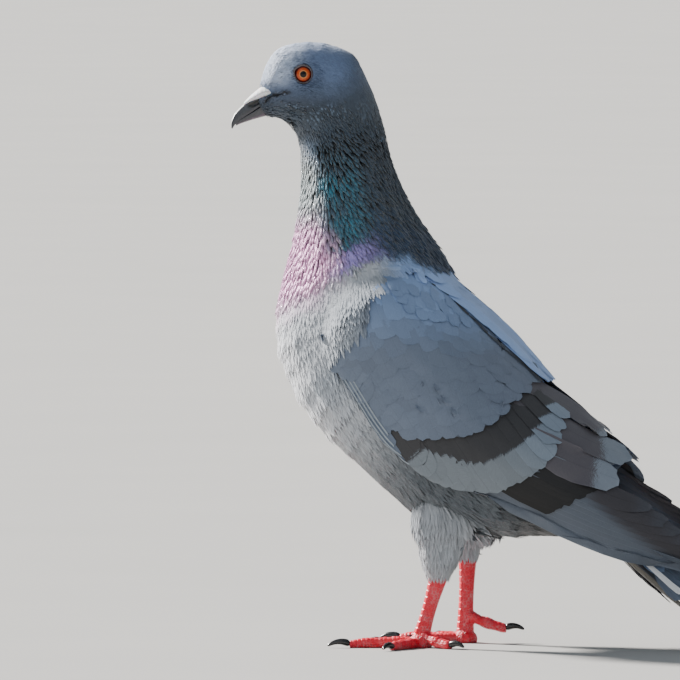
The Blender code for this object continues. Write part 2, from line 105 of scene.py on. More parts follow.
# The left wing's outlines in side view, as (y, z)
COVERTS_START = [(-35, 116), (-33, 127), (-28, 139), (-19, 149), (-9, 152), (8, 141), (28, 122), (43, 107.5)]
RAISED_TIPS = [(-13, 146), (-9.7, 142.5), (-6.1, 137.0), (-0.9, 132.5), (4.4, 131.0), (11.7, 128.8), (19.5, 127.5)]
BAR_TOP = [(-7.3, 90.6), (2.2, 84.2), (14.8, 84.0), (23.8, 86.2), (32, 91), (37, 98), (41.6, 103), (43.5, 106.5)]
PALE_TIPS = [(1, 78), (8.1, 69.5), (15, 66.5), (26, 63.7), (36, 64.5), (45.5, 69.5), (52.9, 74.9), (55.8, 82), (56, 92)]
LOWER_EDGE = [(-37, 121), (-34, 115), (-27, 105), (-17, 90), (-9, 80.5), (1.7, 74), (10, 68.5), (22, 64), (32, 61)]


# --- what can be set


def length_of(name, description, default):
    return FloatProperty(name=name, description=description, default=default * MM, unit="LENGTH", subtype="DISTANCE")


def colour_of(name, description, default):
    return FloatVectorProperty(
        name=name, description=description, default=default, size=3, min=0.0, max=1.0, subtype="COLOR"
    )


class PigeonPlumage(bpy.types.PropertyGroup):
    """Colours of the feathers"""

    head: colour_of("Head", "Blue slate of the head", (0.044, 0.062, 0.086))
    # Partly painted sky light: the crown's paler blue stands for the sky's light on the top of the head as well as its
    # own blue grey
    crown: colour_of("Crown", "Paler blue grey of the crown", (0.122, 0.176, 0.305))
    # Painted highlight: the pale front and top of the head stand for the light falling there
    forehead_highlight: colour_of("Forehead", "Pale blue grey of the forehead", (0.59, 0.68, 0.85))
    neck_dark: colour_of("Hind neck", "Dark slate of the nape and upper neck", (0.044, 0.072, 0.108))
    # Partly the throat's green gloss, partly a painted highlight where the light falls on the front of the neck
    throat_gloss_and_highlight: colour_of("Throat gloss", "Pale green grey of the upper front of the neck", (0.52, 0.59, 0.61))
    neck_teal: colour_of("Neck teal", "Green gloss on the side of the neck", (0.03, 0.185, 0.27))
    neck_violet: colour_of("Neck violet", "Violet gloss at the base of the neck", (0.36, 0.29, 0.68))
    neck_blue: colour_of("Neck blue", "Blue slate where the hind neck meets the back", (0.034, 0.065, 0.125))
    # Partly the neck's rose gloss, partly a painted highlight where the light falls on the front of the neck
    neck_rose_and_highlight: colour_of("Neck rose", "Rose gloss on the lower front of the neck", (1.0, 0.52, 0.85))
    # Painted highlight: this near white stays only on the breast's front edge, where the light falls; further round
    # tints mixes in the breast's grey
    breast: colour_of("Breast", "Pale grey of the breast", (0.82, 0.825, 0.86))
    # Partly painted shade: the lower body is given this dark grey where it lies in shade
    belly: colour_of("Belly", "Soft grey of the belly", (0.08, 0.096, 0.112))
    # Painted shade: the dark flank behind the thighs stands for shade there
    flank_shade: colour_of("Flank", "Darker grey of the flank behind the thighs", (0.043, 0.047, 0.051))
    # Partly painted sky light: the strong blue stands for the sky's light on the upward-facing back as well as its own
    # blue grey
    back: colour_of("Back", "Blue grey of the mantle and rump", (0.29, 0.43, 0.72))
    coverts: colour_of("Coverts", "Light blue grey of the wing coverts", (0.135, 0.168, 0.228))
    pale_tips: colour_of("Covert tips", "Pale grey beyond the front wing bar", (0.17, 0.196, 0.222))
    bar: colour_of("Wing bars", "Charcoal brown of the two wing bars", (0.04, 0.04, 0.044))
    tertials: colour_of("Tertials", "Brown of the tertials", (0.09, 0.084, 0.098))
    primaries: colour_of("Primaries", "Slate of the primaries", (0.092, 0.11, 0.14))
    tail: colour_of("Tail", "Slate grey of the tail", (0.085, 0.112, 0.16))
    tail_band: colour_of("Tail band", "Dark band before the tail's end", (0.022, 0.022, 0.025))
    tail_edge: colour_of("Tail edge", "White outer web of the outermost tail feather", (0.8, 0.82, 0.84))


class PigeonBareParts(bpy.types.PropertyGroup):
    """Colours of the bare parts"""

    leg: colour_of("Leg", "Coral red of the legs and toes", (0.9, 0.012, 0.042))
    leg_scale: colour_of("Scale edges", "Pale pink between the scales", (0.72, 0.33, 0.35))
    claw: colour_of("Claws", "Black of the claws", (0.008, 0.008, 0.009))
    bill: colour_of("Bill", "Dark grey horn of the bill", (0.045, 0.047, 0.055))
    # Painted highlight: the pale line stands for the light catching the bill's top
    bill_ridge_highlight: colour_of("Bill ridge", "Paler horn along the bill's ridge", (0.52, 0.51, 0.5))
    cere: colour_of("Cere", "Chalky white of the cere", (0.9, 0.91, 0.93))
    iris: colour_of("Iris", "Orange red of the iris", (0.64, 0.08, 0.01))
    iris_ring: colour_of("Iris ring", "Paler ring round the pupil", (0.6, 0.25, 0.065))
    lid: colour_of("Lids", "Grey bare skin round the eye", (0.075, 0.062, 0.068))


class PigeonSizes(bpy.types.PropertyGroup):
    """Sizes of the coat and of the skin under it"""

    skin_voxel: length_of("Skin grain", "Size of the skin's mesh cells", 1.05)
    foot_voxel: length_of("Foot grain", "Size of the feet's mesh cells", 0.34)
    coat_depth: length_of("Coat depth", "How far the skin of the body lies under the feather tips", 2.4)
    wing_depth: length_of("Wing coat depth", "How far the skin of the wing lies under the feather tips", 3.2)
    head_depth: length_of("Head coat depth", "How far the skin of the face lies under the feather tips", 0.9)
    head_feather: length_of("Head feather", "Length of a feather on the crown", 3.0)
    neck_feather: length_of("Neck feather", "Length of a neck feather", 8.0)
    breast_feather: length_of("Breast feather", "Length of a breast feather", 12.0)
    back_feather: length_of("Back feather", "Length of a mantle feather", 13.0)
    tail_covert: length_of("Tail covert", "Length of a covert over or under the tail", 17.0)
    thigh_feather: length_of("Thigh feather", "Length of a feather on the thigh", 8.0)
    seed: IntProperty(name="Seed", description="Seed of everything that varies", default=7, min=0)


def colours_of(group):
    """A group's colours as arrays, by name."""
    return types.SimpleNamespace(**{key: np.array(getattr(group, key)) for key in group.__annotations__})


def plumage():
    return colours_of(bpy.context.scene.pigeon_plumage)


def bare_parts():
    return colours_of(bpy.context.scene.pigeon_bare_parts)


def sizes():
    return bpy.context.scene.pigeon_sizes


# --- numbers


def ramp(value, low, high):
    """0 below low, 1 above high, and a smooth rise between."""
    share = np.clip((np.asarray(value, float) - low) / (high - low), 0.0, 1.0)
    return share * share * (3.0 - 2.0 * share)


def fall(value, low, high):
    """1 below low, 0 above high, and a smooth fall between."""
    return 1 - ramp(value, low, high)


def mixed(first, second, share):
    return first + (np.asarray(second) - first) * np.asarray(share)[..., None]


def painted(colour, *coats):
    """A colour with others mixed into it in turn, each given with its share."""
    for coat, share in coats:
        colour = mixed(colour, coat, share)
    return colour


def unit(vectors):
    vectors = np.asarray(vectors, float)
    return vectors / np.maximum(np.linalg.norm(vectors, axis=-1, keepdims=True), 1e-9)


def curve(points, count):
    """Points evenly spaced along a smooth curve through the given ones."""
    points = np.asarray(points, float)
    padded = np.vstack([2 * points[0] - points[1], points, 2 * points[-1] - points[-2]])
    fine = []
    for a, b, c, d in zip(padded, padded[1:], padded[2:], padded[3:]):
        for t in np.linspace(0, 1, 12, endpoint=False):
            fine.append(b + 0.5 * t * (c - a + t * (2 * a - 5 * b + 4 * c - d + t * (3 * b - a - 3 * c + d))))
    fine = np.array(fine + [points[-1]])
    steps = np.r_[0, np.cumsum(np.linalg.norm(np.diff(fine, axis=0), axis=1))]
    at = np.linspace(0, steps[-1], count)
    return np.stack([np.interp(at, steps, column) for column in fine.T], axis=1)


def turned(points, degrees=HEAD_TURN):
    """Points turned about the head's upright axis, towards the bird's left."""
    angle = np.radians(degrees)
    x, y, z = np.asarray(points, float).T
    y = y - TURN_AXIS_Y
    cos, sin = np.cos(angle), np.sin(angle)
    return np.stack([x * cos - y * sin, x * sin + y * cos + TURN_AXIS_Y, z], axis=1)


def face_points(forward, sideways, height):
    """Points on the turned head, measured forward from its turning axis."""
    forward, sideways, height = np.broadcast_arrays(forward, sideways, height)
    flat = np.stack([sideways.ravel(), TURN_AXIS_Y - forward.ravel(), height.ravel()], axis=1)
    return turned(flat)


@functools.lru_cache
def spine():
    """Dense points on the middle line, the direction at each, and a tree that finds the nearest."""
    rows = curve(SPINE, 240)
    points = turned(np.c_[np.zeros(len(rows)), rows[:, :2]], rows[:, 2])
    tree = KDTree(len(points))
    for i, point in enumerate(points):
        tree.insert(point, i)
    tree.balance()
    return points, unit(np.gradient(points, axis=0)), tree


def beside(points):
    """The middle line's own point and its direction, next to each of the given points."""
    line, ways, tree = spine()
    near = np.array([tree.find(Vector(point))[1] for point in points])
    return line[near], ways[near]


# --- meshes


def to_row(points):
    return np.asarray(points, float) * MM + ORIGIN


def to_bird(points):
    return (np.asarray(points, float) - ORIGIN) / MM


def read(items, name, width=1, kind=float):
    """A value, or a row of them, from each item of a mesh."""
    values = np.empty(len(items) * width, kind)
    items.foreach_get(name, values)
    return values.reshape(-1, width) if width > 1 else values


def points_of(mesh):
    return read(mesh.vertices, "co", 3)


def normals_of(mesh):
    return read(mesh.vertex_normals, "vector", 3)


def triangles_of(mesh, name="vertices"):
    mesh.calc_loop_triangles()
    return read(mesh.loop_triangles, name, 3, np.int32)


def tree_over(points, triangles):
    return BVHTree.FromPolygons(points.tolist(), triangles.tolist())


def move_to(mesh, points):
    """Move a mesh's vertices to points in the bird's own measures."""
    mesh.vertices.foreach_set("co", to_row(points).ravel())
    mesh.update()


def opened(*meshes):
    """The meshes together, ready to be worked on."""
    shape = bmesh.new()
    for mesh in meshes:
        shape.from_mesh(mesh)
    return shape


def written(shape, mesh):
    """The mesh, with the worked shape written into it."""
    shape.to_mesh(mesh)
    shape.free()
    return mesh


def swell_out(shape, amount):
    shape.normal_update()
    for vert in shape.verts:
        vert.co += vert.normal * (amount * MM)


def quads(index):
    """The four corners of every cell in a grid of vertex numbers."""
    return np.stack([index[:-1, :-1], index[:-1, 1:], index[1:, 1:], index[1:, :-1]], axis=-1).reshape(-1, 4)


def make_object(name, data):
    """A new object in the scene, with a mesh, a light or a camera."""
    thing = bpy.data.objects.new(name, data)
    bpy.context.scene.collection.objects.link(thing)
    return thing


def mesh_from(name, points, faces):
    """A mesh in the frame from points in the bird's own measures."""
    mesh = bpy.data.meshes.new(name)
    mesh.from_pydata(to_row(points).tolist(), [], [tuple(int(i) for i in face) for face in faces])
    mesh.update()
    return mesh


def finish(thing, material, nodes=()):
    """Give a finished piece its material, the nodes it stands for and its body."""
    if material is not None:
        thing.data.materials.clear()
        thing.data.materials.append(material)
    thing.data.shade_smooth()
    if nodes:
        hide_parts(*nodes)
    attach(thing, BODY)
    return thing


def applied(thing, *modifiers):
    """The object with its modifiers, and those given as (type, settings), made into plain mesh."""
    for kind, settings in modifiers:
        modifier = thing.modifiers.new(kind.title(), kind)
        for key, value in settings.items():
            setattr(modifier, key, value)
    graph = bpy.context.evaluated_depsgraph_get()
    mesh = bpy.data.meshes.new_from_object(
        thing.evaluated_get(graph), preserve_all_data_layers=True, depsgraph=graph
    )
    thing.modifiers.clear()
    old = thing.data
    thing.data = mesh
    mesh.name = thing.name
    if old.users == 0:
        bpy.data.meshes.remove(old)
    return thing


def neighbours(mesh):
    """Both ends of every edge, and how many edges meet at each vertex."""
    a, b = read(mesh.edges, "vertices", 2, np.int32).T
    return a, b, np.bincount(np.r_[a, b], minlength=len(mesh.vertices))


def sums(values, a, b):
    """The sum of the neighbours' values at each vertex."""
    if values.ndim > 1:
        return np.stack([sums(column, a, b) for column in values.T], axis=1)
    return np.bincount(a, values[b], len(values)) + np.bincount(b, values[a], len(values))


PUSH_OUT = 0.53  # a little more than each pull in, so that a form keeps its size


def relax(mesh, rounds):
    """Smooth a mesh without much shrinking, by turns of pulling in and pushing out."""
    points = points_of(mesh)
    a, b, count = neighbours(mesh)
    for step in range(2 * rounds):
        middle = sums(points, a, b) / np.maximum(count[:, None], 1)
        points += (middle - points) * (0.5 if step % 2 == 0 else -PUSH_OUT)
    mesh.vertices.foreach_set("co", points.ravel())
    mesh.update()


def spread(mesh, values, rounds):
    """Values at the vertices, averaged with their neighbours."""
    a, b, count = neighbours(mesh)
    values = np.asarray(values, float)
    count = (1 + count).reshape(-1, *[1] * (values.ndim - 1))
    for _ in range(rounds):
        values = (values + sums(values, a, b)) / count
    return values


def softened(mesh, points, share, rounds):
    """Points moved towards their neighbours by a share at each."""
    for _ in range(rounds):
        points = points + (spread(mesh, points, 1) - points) * share[:, None]
    return points


def store(mesh, name, values, kind="FLOAT"):
    """Write values into an attribute of the mesh."""
    old = mesh.attributes.get(name)
    if old is not None:
        mesh.attributes.remove(old)
    attribute = mesh.attributes.new(name, kind, "POINT")
    key = {"FLOAT": "value", "FLOAT_VECTOR": "vector", "FLOAT_COLOR": "color"}[kind]
    values = np.asarray(values, np.float32)
    if kind == "FLOAT_COLOR" and values.shape[-1] == 3:
        values = np.c_[values, np.ones(len(values))]
    attribute.data.foreach_set(key, values.ravel().astype(np.float32))


def write_map(mesh, name, places):
    """Write a UV map from a place for each vertex."""
    corners = read(mesh.loops, "vertex_index", 1, np.int32)
    mesh.uv_layers.new(name=name).data.foreach_set("uv", np.asarray(places, np.float32)[corners].ravel())


def swollen_union(name, nodes, swell, voxel, rounds, cut=None):
    """One closed, smoothed mesh round some of the frame's nodes. A cut is (node, point, normal)."""
    whole = bmesh.new()
    for node in nodes:
        part = opened(frame["nodes"][node].data)
        bmesh.ops.remove_doubles(part, verts=part.verts, dist=MERGE)
        if cut and cut[0] == node:
            found = bmesh.ops.bisect_plane(
                part,
                geom=part.verts[:] + part.edges[:] + part.faces[:],
                plane_co=to_row(cut[1]),
                plane_no=cut[2],
                clear_outer=True,
            )
            rim = [item for item in found["geom_cut"] if isinstance(item, bmesh.types.BMEdge)]
            bmesh.ops.holes_fill(part, edges=rim)
        swell_out(part, swell)
        mesh = written(part, bpy.data.meshes.new("part"))
        whole.from_mesh(mesh)
        bpy.data.meshes.remove(mesh)
    thing = make_object(name, written(whole, bpy.data.meshes.new(name)))
    applied(thing, ("REMESH", {"mode": "VOXEL", "voxel_size": voxel}))
    relax(thing.data, rounds)
    return thing


class Surface:
    """A smooth surface that feathers are laid on, in the bird's own measures."""

    def __init__(self, mesh):
        self.normals = normals_of(mesh)
        self.triangles = triangles_of(mesh)
        self.tree = tree_over(to_bird(points_of(mesh)), self.triangles)

    def _at(self, found):
        place, _, face, _ = found
        normal = self.normals[self.triangles[face]].mean(axis=0)
        return np.array(place), unit(normal)

    def nearest(self, point):
        """The nearest point on the surface and the smooth normal there."""
        return self._at(self.tree.find_nearest(Vector(point)))

    def hit(self, start, direction):
        """The point where a ray meets the surface and the smooth normal there, or None if it misses."""
        found = self.tree.ray_cast(Vector(start), Vector(direction))
        return None if found[0] is None else self._at(found)


# --- the body's own surface

FLESH = ["head", "neck", "trunk", "wing_left", "wing_right", "thigh_left", "thigh_right"]
COATED = FLESH + ["tail", "primaries_left", "primaries_right"]
TAIL_ROOT_Y = 108.0


@functools.lru_cache
def node_finder():
    """A tree over the coated nodes' faces, with each face's node."""
    points, faces, owners, start = [], [], [], 0
    for node in COATED:
        mesh = frame["nodes"][node].data
        points.append(to_bird(points_of(mesh)))
        faces.append(triangles_of(mesh) + start)
        owners += [node.split("_")[0]] * len(faces[-1])
        start += len(points[-1])
    return tree_over(np.vstack(points), np.vstack(faces)), owners


def owners_of(points):
    """The name of the body part that each point lies on."""
    tree, owners = node_finder()
    return np.array([owners[tree.find_nearest(Vector(point))[2]] for point in points])


@functools.lru_cache
def outer_form():
    """The outline out to the feather tips, which the small feathers are laid on."""
    thing = swollen_union("outer_form", COATED, 0.2, 0.95 * MM, 12)
    mesh = thing.data
    points = to_bird(points_of(mesh))
    gaps = np.linalg.norm(points - face_points(*NAPE), axis=1)
    points = softened(mesh, points, fall(gaps, 7, 13), 12)
    points += normals_of(mesh) * (1.25 * np.exp(-((gaps / 8.5) ** 2)))[:, None]
    height = points[:, 2]
    beyond = points[:, 1] - shoulder_line(height)
    beside_wing = ramp(beyond, -30, -18) * fall(beyond, -1, 5)
    beside_wing = beside_wing * ramp(height, 104, 118) * fall(height, 154, 162)
    move_to(mesh, softened(mesh, points, beside_wing, 50))
    bpy.data.objects.remove(thing)
    return mesh


@functools.lru_cache
def back_form():
    """The same outline, to lay long feathers on."""
    return Surface(outer_form())


NAPE = (-8.5, 0.0, 234.5)  # forward, sideways and up: where the back of the head swells a little
BACK_ZERO = np.array([0.0, -12.0, 156.0])
DOWN_BACK, OFF_BACK = np.array([0.0, 0.690, -0.724]), np.array([0.0, 0.724, 0.690])
MANTLE_EDGE = ([-6, 11.7, 25.3, 38, 53, 62, 76], [1.0, 2.0, 3.9, 4.7, 5.3, 6.1, 6.4])  # height off the back's line


@functools.lru_cache
def mantle_form():
    """The back with the grooves beside the wings bridged, and how far out its feathers reach.

    Each row is an outline across the back, bridged by its hull."""
    across, rows = np.arange(-32.0, 32.5, 1.0), np.arange(-14.0, 98.0, 2.0)
    heights = np.zeros((len(rows), len(across)))
    for i, a in enumerate(rows):
        for j, x in enumerate(across):
            start = BACK_ZERO + DOWN_BACK * a + LEFT * abs(x)
            found = back_form().hit(start + OFF_BACK * 60, -OFF_BACK)
            heights[i, j] = (found[0] - BACK_ZERO) @ OFF_BACK if found else -30.0
        heights[i] = np.minimum(heights[i], np.interp(a, (0, 14, 24), (5.5, 6.5, 30.0)))
        hull = []
        for spot in zip(across, heights[i]):
            while len(hull) > 1:
                (x1, z1), (x2, z2) = hull[-2:]
                if (z2 - z1) * (spot[0] - x1) > (spot[1] - z1) * (x2 - x1):
                    break
                hull.pop()
            hull.append(spot)
        heights[i] = np.interp(across, *zip(*hull))
    bridged = heights.copy()
    for _ in range(6):
        padded = np.pad(heights, 1, mode="edge")
        heights = (padded[:-2, 1:-1] + padded[2:, 1:-1] + 2 * padded[1:-1, 1:-1]) / 4
        padded = np.pad(heights, 1, mode="edge")
        heights = np.maximum((padded[1:-1, :-2] + padded[1:-1, 2:] + 6 * padded[1:-1, 1:-1]) / 8, bridged)
    points = BACK_ZERO + rows[:, None, None] * DOWN_BACK + heights[:, :, None] * OFF_BACK
    points = points + across[None, :, None] * LEFT
    faces = quads(np.arange(heights.size).reshape(heights.shape))
    reach = [across[row > np.interp(a, *MANTLE_EDGE)].max() for a, row in zip(rows, heights)]
    return Surface(mesh_from("mantle_form", points.reshape(-1, 3), faces)), (rows, reach)


def form_of(name, nodes, swell, voxel, rounds):
    """A smooth surface round some of the frame's nodes, which leaves no piece behind."""
    thing = swollen_union(name, nodes, swell, voxel * MM, rounds)
    surface = Surface(thing.data)
    bpy.data.objects.remove(thing)
    return surface


@functools.lru_cache
def wing_form():
    """The left wing's outer surface, which both wings' feathers are laid on."""
    return form_of("wing_form", ["wing_left", "primaries_left"], 0.15, 0.7, 8)


@functools.lru_cache
def tail_form():
    return form_of("tail_form", ["tail"], 0.0, 0.6, 4)


def dorsal(points):
    """How far behind the middle line each point lies: -1 at the throat, 1 at the nape."""
    line, _ = beside(points)
    return (points[:, 1] - line[:, 1]) / np.interp(points[:, 2], *NECK_HALF_DEPTH)


def neck_base(points, back):
    """Height above the line round the body where the neck's feathers end."""
    line = np.interp(back, (-1.0, 0.0, 0.45, 0.8, 1.15), (138.0, 153.0, 159.0, 157.5, 152.5))
    return points[:, 2] - line - 1.5 * ramp(np.abs(points[:, 0]), 8, 18) * ramp(back, 0.5, 0.8)


def head_base(back):
    """Height of the line round the throat and the nape where the head's feathers begin."""
    return np.interp(back, (-1.0, -0.4, 0.0, 0.5, 1.0), (201.5, 206.0, 212.5, 214.0, 211.0))


def on_face(points):
    """How far forward on the turned head each point lies, and its height."""
    unturned = turned(points, -HEAD_TURN)
    return TURN_AXIS_Y - unturned[:, 1], unturned[:, 2]


def eye_distance(points):
    """Distance from the nearer eye's axis, in the plane of that side of the face."""
    forward, height = on_face(points)
    return np.hypot(forward - EYE_FORWARD, height - EYE_HEIGHT), forward


def patches(points, size, shift=0.0):
    """A smooth random value from -1 to 1 at each point, changing over about the given size."""
    return np.array([noise.noise(Vector(point / size) + Vector((shift, 0, 0))) for point in points]) * 1.6


def tints(points, owners):
    """The colour of the plumage at each point."""
    p = plumage()
    back, y, height = dorsal(points), points[:, 1], points[:, 2]
    fine, broad = patches(points, 1.7), patches(points, 7.0, 40.0)
    back = back + 0.07 * broad + 0.05 * fine
    base = neck_base(points, back) + 1.2 * fine
    beyond = y - shoulder_line(height)
    # low: the lower body, painted darker towards the bottom as shade
    low = ramp(y * 0.55 - height, -132, -74) * (1 - 0.72 * (owners == "thigh"))
    behind = ramp(y - (-36 + (160 - height) * 0.85), 8, 22) * (owners != "thigh")
    front = fall(back, *(np.interp(height, [160, 177, 202], [b, b - 0.30, b - 0.45]) for b in (-0.25, 0.12)))
    neck, throat = ramp(base, -10, 7), ramp(height, 168, 184)
    blue = ramp(base, -1, 3) * fall(base, 12, 24) * ramp(back, 0.2, 0.6)
    violet = ramp(base, -1, 3) * fall(base, 7, 13) * (1 - front) * fall(back, 0.1, 0.7)
    teal = ramp(base, 8, 13) * fall(height, 186, 206) * fall(back, 0.15, 0.6) * (1 - front)
    colour = painted(
        # the breast's front edge keeps the near white as a painted highlight where the light falls; further round it
        # turns grey
        np.tile(p.breast, (len(points), 1)),
        ((0.47, 0.50, 0.545), ramp(back, -0.95, -0.45)),
        # painted shade: the belly and the flank behind the thighs darkened
        (p.belly, low),
        (p.flank_shade, ramp(y, 16, 34) * (height < 92)),
        ((0.30, 0.34, 0.39), ramp(beyond, -18, -5) * ramp(height, 100, 118) * 0.85),
        # the back's blue grey, partly painted sky light
        (p.back, behind),
        (p.neck_dark, ramp(base, -1, 4) * (1 - front)),
        (p.neck_blue, blue * 0.8),
        (p.neck_violet, violet),
        (p.neck_teal, teal * np.clip(0.62 + 0.5 * broad + 0.35 * fine, 0.12, 1.0)),
        # the front of the neck: its own rose and green gloss, painted pale as a highlight where the light falls
        (p.neck_rose_and_highlight, neck * front * (1 - throat)),
        (p.throat_gloss_and_highlight, neck * front * throat * (1 - 0.5 * ramp(height, 191, 201))),
    )
    colour = colour * (1 - 0.3 * ramp(back, 0.4, 1.0) * neck * ramp(height, 150, 158))[:, None]
    face = ramp(height - head_base(back), -6, 3) * (owners != "wing")
    _, forward = eye_distance(points)
    # cheek: a patch below and behind the eye, painted darker as shade
    cheek = fall(np.hypot((forward - 9.5) / 13.0, (height - 217.5) / 6.0), 0.7, 1.1)
    # crown: the top of the head, painted paler and bluer where it faces the sky, partly as painted sky light
    crown = ramp(height + 0.15 * forward, 215, 232) * face * (1 - 0.6 * ramp(-forward, 0, 11))
    # lit: the front of the forehead and the top of the crown, painted paler as a highlight where the light falls
    lit = ramp(forward + 0.35 * (height - 228), 9.0, 25.0) * ramp(height, 220.5, 227)
    lit = np.maximum(lit, 0.5 * ramp(height, 236.0, 241.5))
    gape, _ = bill_clearance(points)
    colour = painted(
        colour,
        (p.head, face),
        (p.head * 0.72, cheek * face),
        (p.crown, crown),
        (p.forehead_highlight, lit * face * np.clip(0.85 + 0.4 * fine, 0, 1)),
        # near black along the line where the bill's halves meet: painted shade in the mouth's crease
        ((0.012, 0.012, 0.014), fall(gape, 0.35, 0.85) * face),
        (p.tail, (owners == "tail") * ramp(y, 66, 90)),
        (p.coverts, (owners == "wing") * ramp(beyond, -6, 4)),
        (p.primaries, (owners == "primaries") * 1.0),
    )
    return colour * (1 + 0.05 * broad)[:, None]


def shoulder_line(height):
    """How far back the breast's plumage reaches over the wing at each height."""
    return np.interp(height, *zip(*SHOULDER))


def lies(points, normals, owners):
    """The way that the feathers point at each place, along the surface."""
    _, way = beside(points)
    back = dorsal(points)
    slanted = ramp(back, -0.7, 0.6) * ramp(points[:, 2], 140, 165) * fall(points[:, 2], 203, 216)
    way += slanted[:, None] * np.array([0.0, 0.75, 0.0])
    down = ((owners == "thigh") * fall(points[:, 2], 56, 72))[:, None]
    way = way * (1 - down) + np.array([0.0, 0.05, -1.0]) * down
    return unit(way - normals * (way * normals).sum(axis=1, keepdims=True))


# --- materials


class Graph:
    """A node tree, built up by short calls."""

    def put(self, socket, value):
        if isinstance(value, bpy.types.NodeSocket):
            self.tree.links.new(value, socket)
        elif socket.type == "RGBA" and len(value) == 3:
            socket.default_value = (*value, 1.0)
        else:
            socket.default_value = value

    def add(self, kind, inputs=None, output=0, **settings):
        """Add a node. Inputs go by name or place, and outputs by name or among the enabled ones."""
        node = self.tree.nodes.new(kind)
        for key, value in settings.items():
            setattr(node, key, value)
        for key, value in (inputs or {}).items():
            named = [socket for socket in node.inputs if socket.name == key and socket.enabled]
            self.put(named[0] if named else node.inputs[key], value)
        if isinstance(output, str):
            return node.outputs[output]
        return [socket for socket in node.outputs if socket.enabled][output]

    def math(self, operation, first, second=0.0, third=0.0):
        return self.add("ShaderNodeMath", {0: first, 1: second, 2: third}, operation=operation)

    def product(self, first, *others):
        for other in others:
            first = self.math("MULTIPLY", first, other)
        return first

    def scaled(self, vector, amount):
        """A vector or a colour times a number."""
        return self.add("ShaderNodeVectorMath", {0: vector, "Scale": amount}, operation="SCALE")


class Nodes(Graph):
    """A material's node tree."""

    def __init__(self, name, colour, roughness):
        self.material = bpy.data.materials.new(name)
        self.material.use_nodes = True
        self.tree = self.material.node_tree
        self.shader = self.tree.nodes["Principled BSDF"]
        self.paint((*colour, 1.0), roughness)
        self.material.diffuse_color = (*colour, 1.0)

    def where(self):
        return self.add("ShaderNodeTexCoord", output="Object")

    def attribute(self, name, output="Fac"):
        return self.add("ShaderNodeAttribute", output=output, attribute_name=name)

    def split(self, vector):
        node = self.tree.nodes.new("ShaderNodeSeparateXYZ")
        self.put(node.inputs[0], vector)
        return node.outputs

    def vector(self, x, y, z=0.0):
        return self.add("ShaderNodeCombineXYZ", {0: x, 1: y, 2: z})

    def rise(self, value, low, high, top=1.0, bottom=0.0):
        """bottom below low, top above high, smooth between."""
        inputs = {"Value": value, "From Min": low, "From Max": high, "To Min": bottom, "To Max": top}
        return self.add("ShaderNodeMapRange", inputs, interpolation_type="SMOOTHSTEP")

    def noise(self, vector, scale, detail=2.0, roughness=0.5):
        inputs = {"Vector": vector, "Scale": scale, "Detail": detail, "Roughness": roughness}
        return self.add("ShaderNodeTexNoise", inputs)

    def mix(self, first, second, share):
        return self.add("ShaderNodeMix", {0: share, 6: first, 7: second}, data_type="RGBA")

    def bump(self, height, distance, strength):
        inputs = {"Height": height, "Distance": distance, "Strength": strength}
        self.tree.links.new(self.add("ShaderNodeBump", inputs), self.shader.inputs["Normal"])

    def paint(self, colour, roughness=None):
        self.put(self.shader.inputs["Base Color"], colour)
        if roughness is not None:
            self.put(self.shader.inputs["Roughness"], roughness)

    def fix(self, **settings):
        """Plain numbers on the shader's own sockets."""
        for key, value in settings.items():
            self.shader.inputs[key.replace("_", " ").title().replace("Ior", "IOR")].default_value = value
        return self.material


def across_and_along(n):
    """Places on a feather: across, along, and out from its middle line."""
    x, y, _ = n.split(n.add("ShaderNodeUVMap", uv_map="vane"))
    return x, y, n.math("ABSOLUTE", n.math("SUBTRACT", x, 0.5))


def small_feather_material(name, roughness, streak, edge, gap, sheen, metallic=0.0, tip=0.12, fleck=0.0):
    """Vane of a body feather: hair-like barbs, darker towards the root by gap (partly the down's own grey, partly
    painted shade where the feathers overlap), a rim made lighter or darker by edge, and a lighter tip; a negative edge
    paints shade between the feathers.
    """
    n = Nodes(name, (0.3, 0.3, 0.32), roughness)
    x, y, off = across_and_along(n)
    tone = n.attribute("tone")
    barbs = n.math("ADD", n.product(x, 9.0), n.product(off, y, -6.0))
    hair = n.noise(n.vector(barbs, n.product(y, 1.2), n.product(tone, 40.0)), 1.6, 3.0, 0.65)
    hair = n.rise(hair, 0.32, 0.68)
    bright = n.product(
        n.math("ADD", n.product(hair, streak), 1.0 - streak * 0.5),
        n.rise(tone, 0.0, 1.0, 1.08, 0.92),
        # darker towards the root: partly the down's own grey, partly painted shade under the overlapping feathers
        n.rise(y, 0.15, 0.75, 1.0, gap),
        # rim lighter, or with a negative edge darker as painted shade between the feathers
        n.rise(off, 0.20, 0.46, 1.0 + edge, 1.0),
        n.rise(y, 0.80, 0.98, 1.0 + tip, 1.0),
    )
    tint = n.attribute("tint", "Color")
    if fleck:
        _, green, _ = n.split(tint)
        some = n.product(
            n.rise(tone, 0.66, 0.76, fleck, 0.0), n.rise(green, 0.052, 0.068, 0.0, 1.0), n.rise(y, 0.45, 0.75)
        )
        bright = n.product(bright, n.math("ADD", some, 1.0))
    n.paint(n.scaled(tint, bright), n.rise(hair, 0.0, 1.0, roughness, roughness + 0.12))
    n.bump(hair, 0.00012, 0.6)
    return n.fix(sheen_weight=sheen, sheen_roughness=0.4, metallic=metallic)


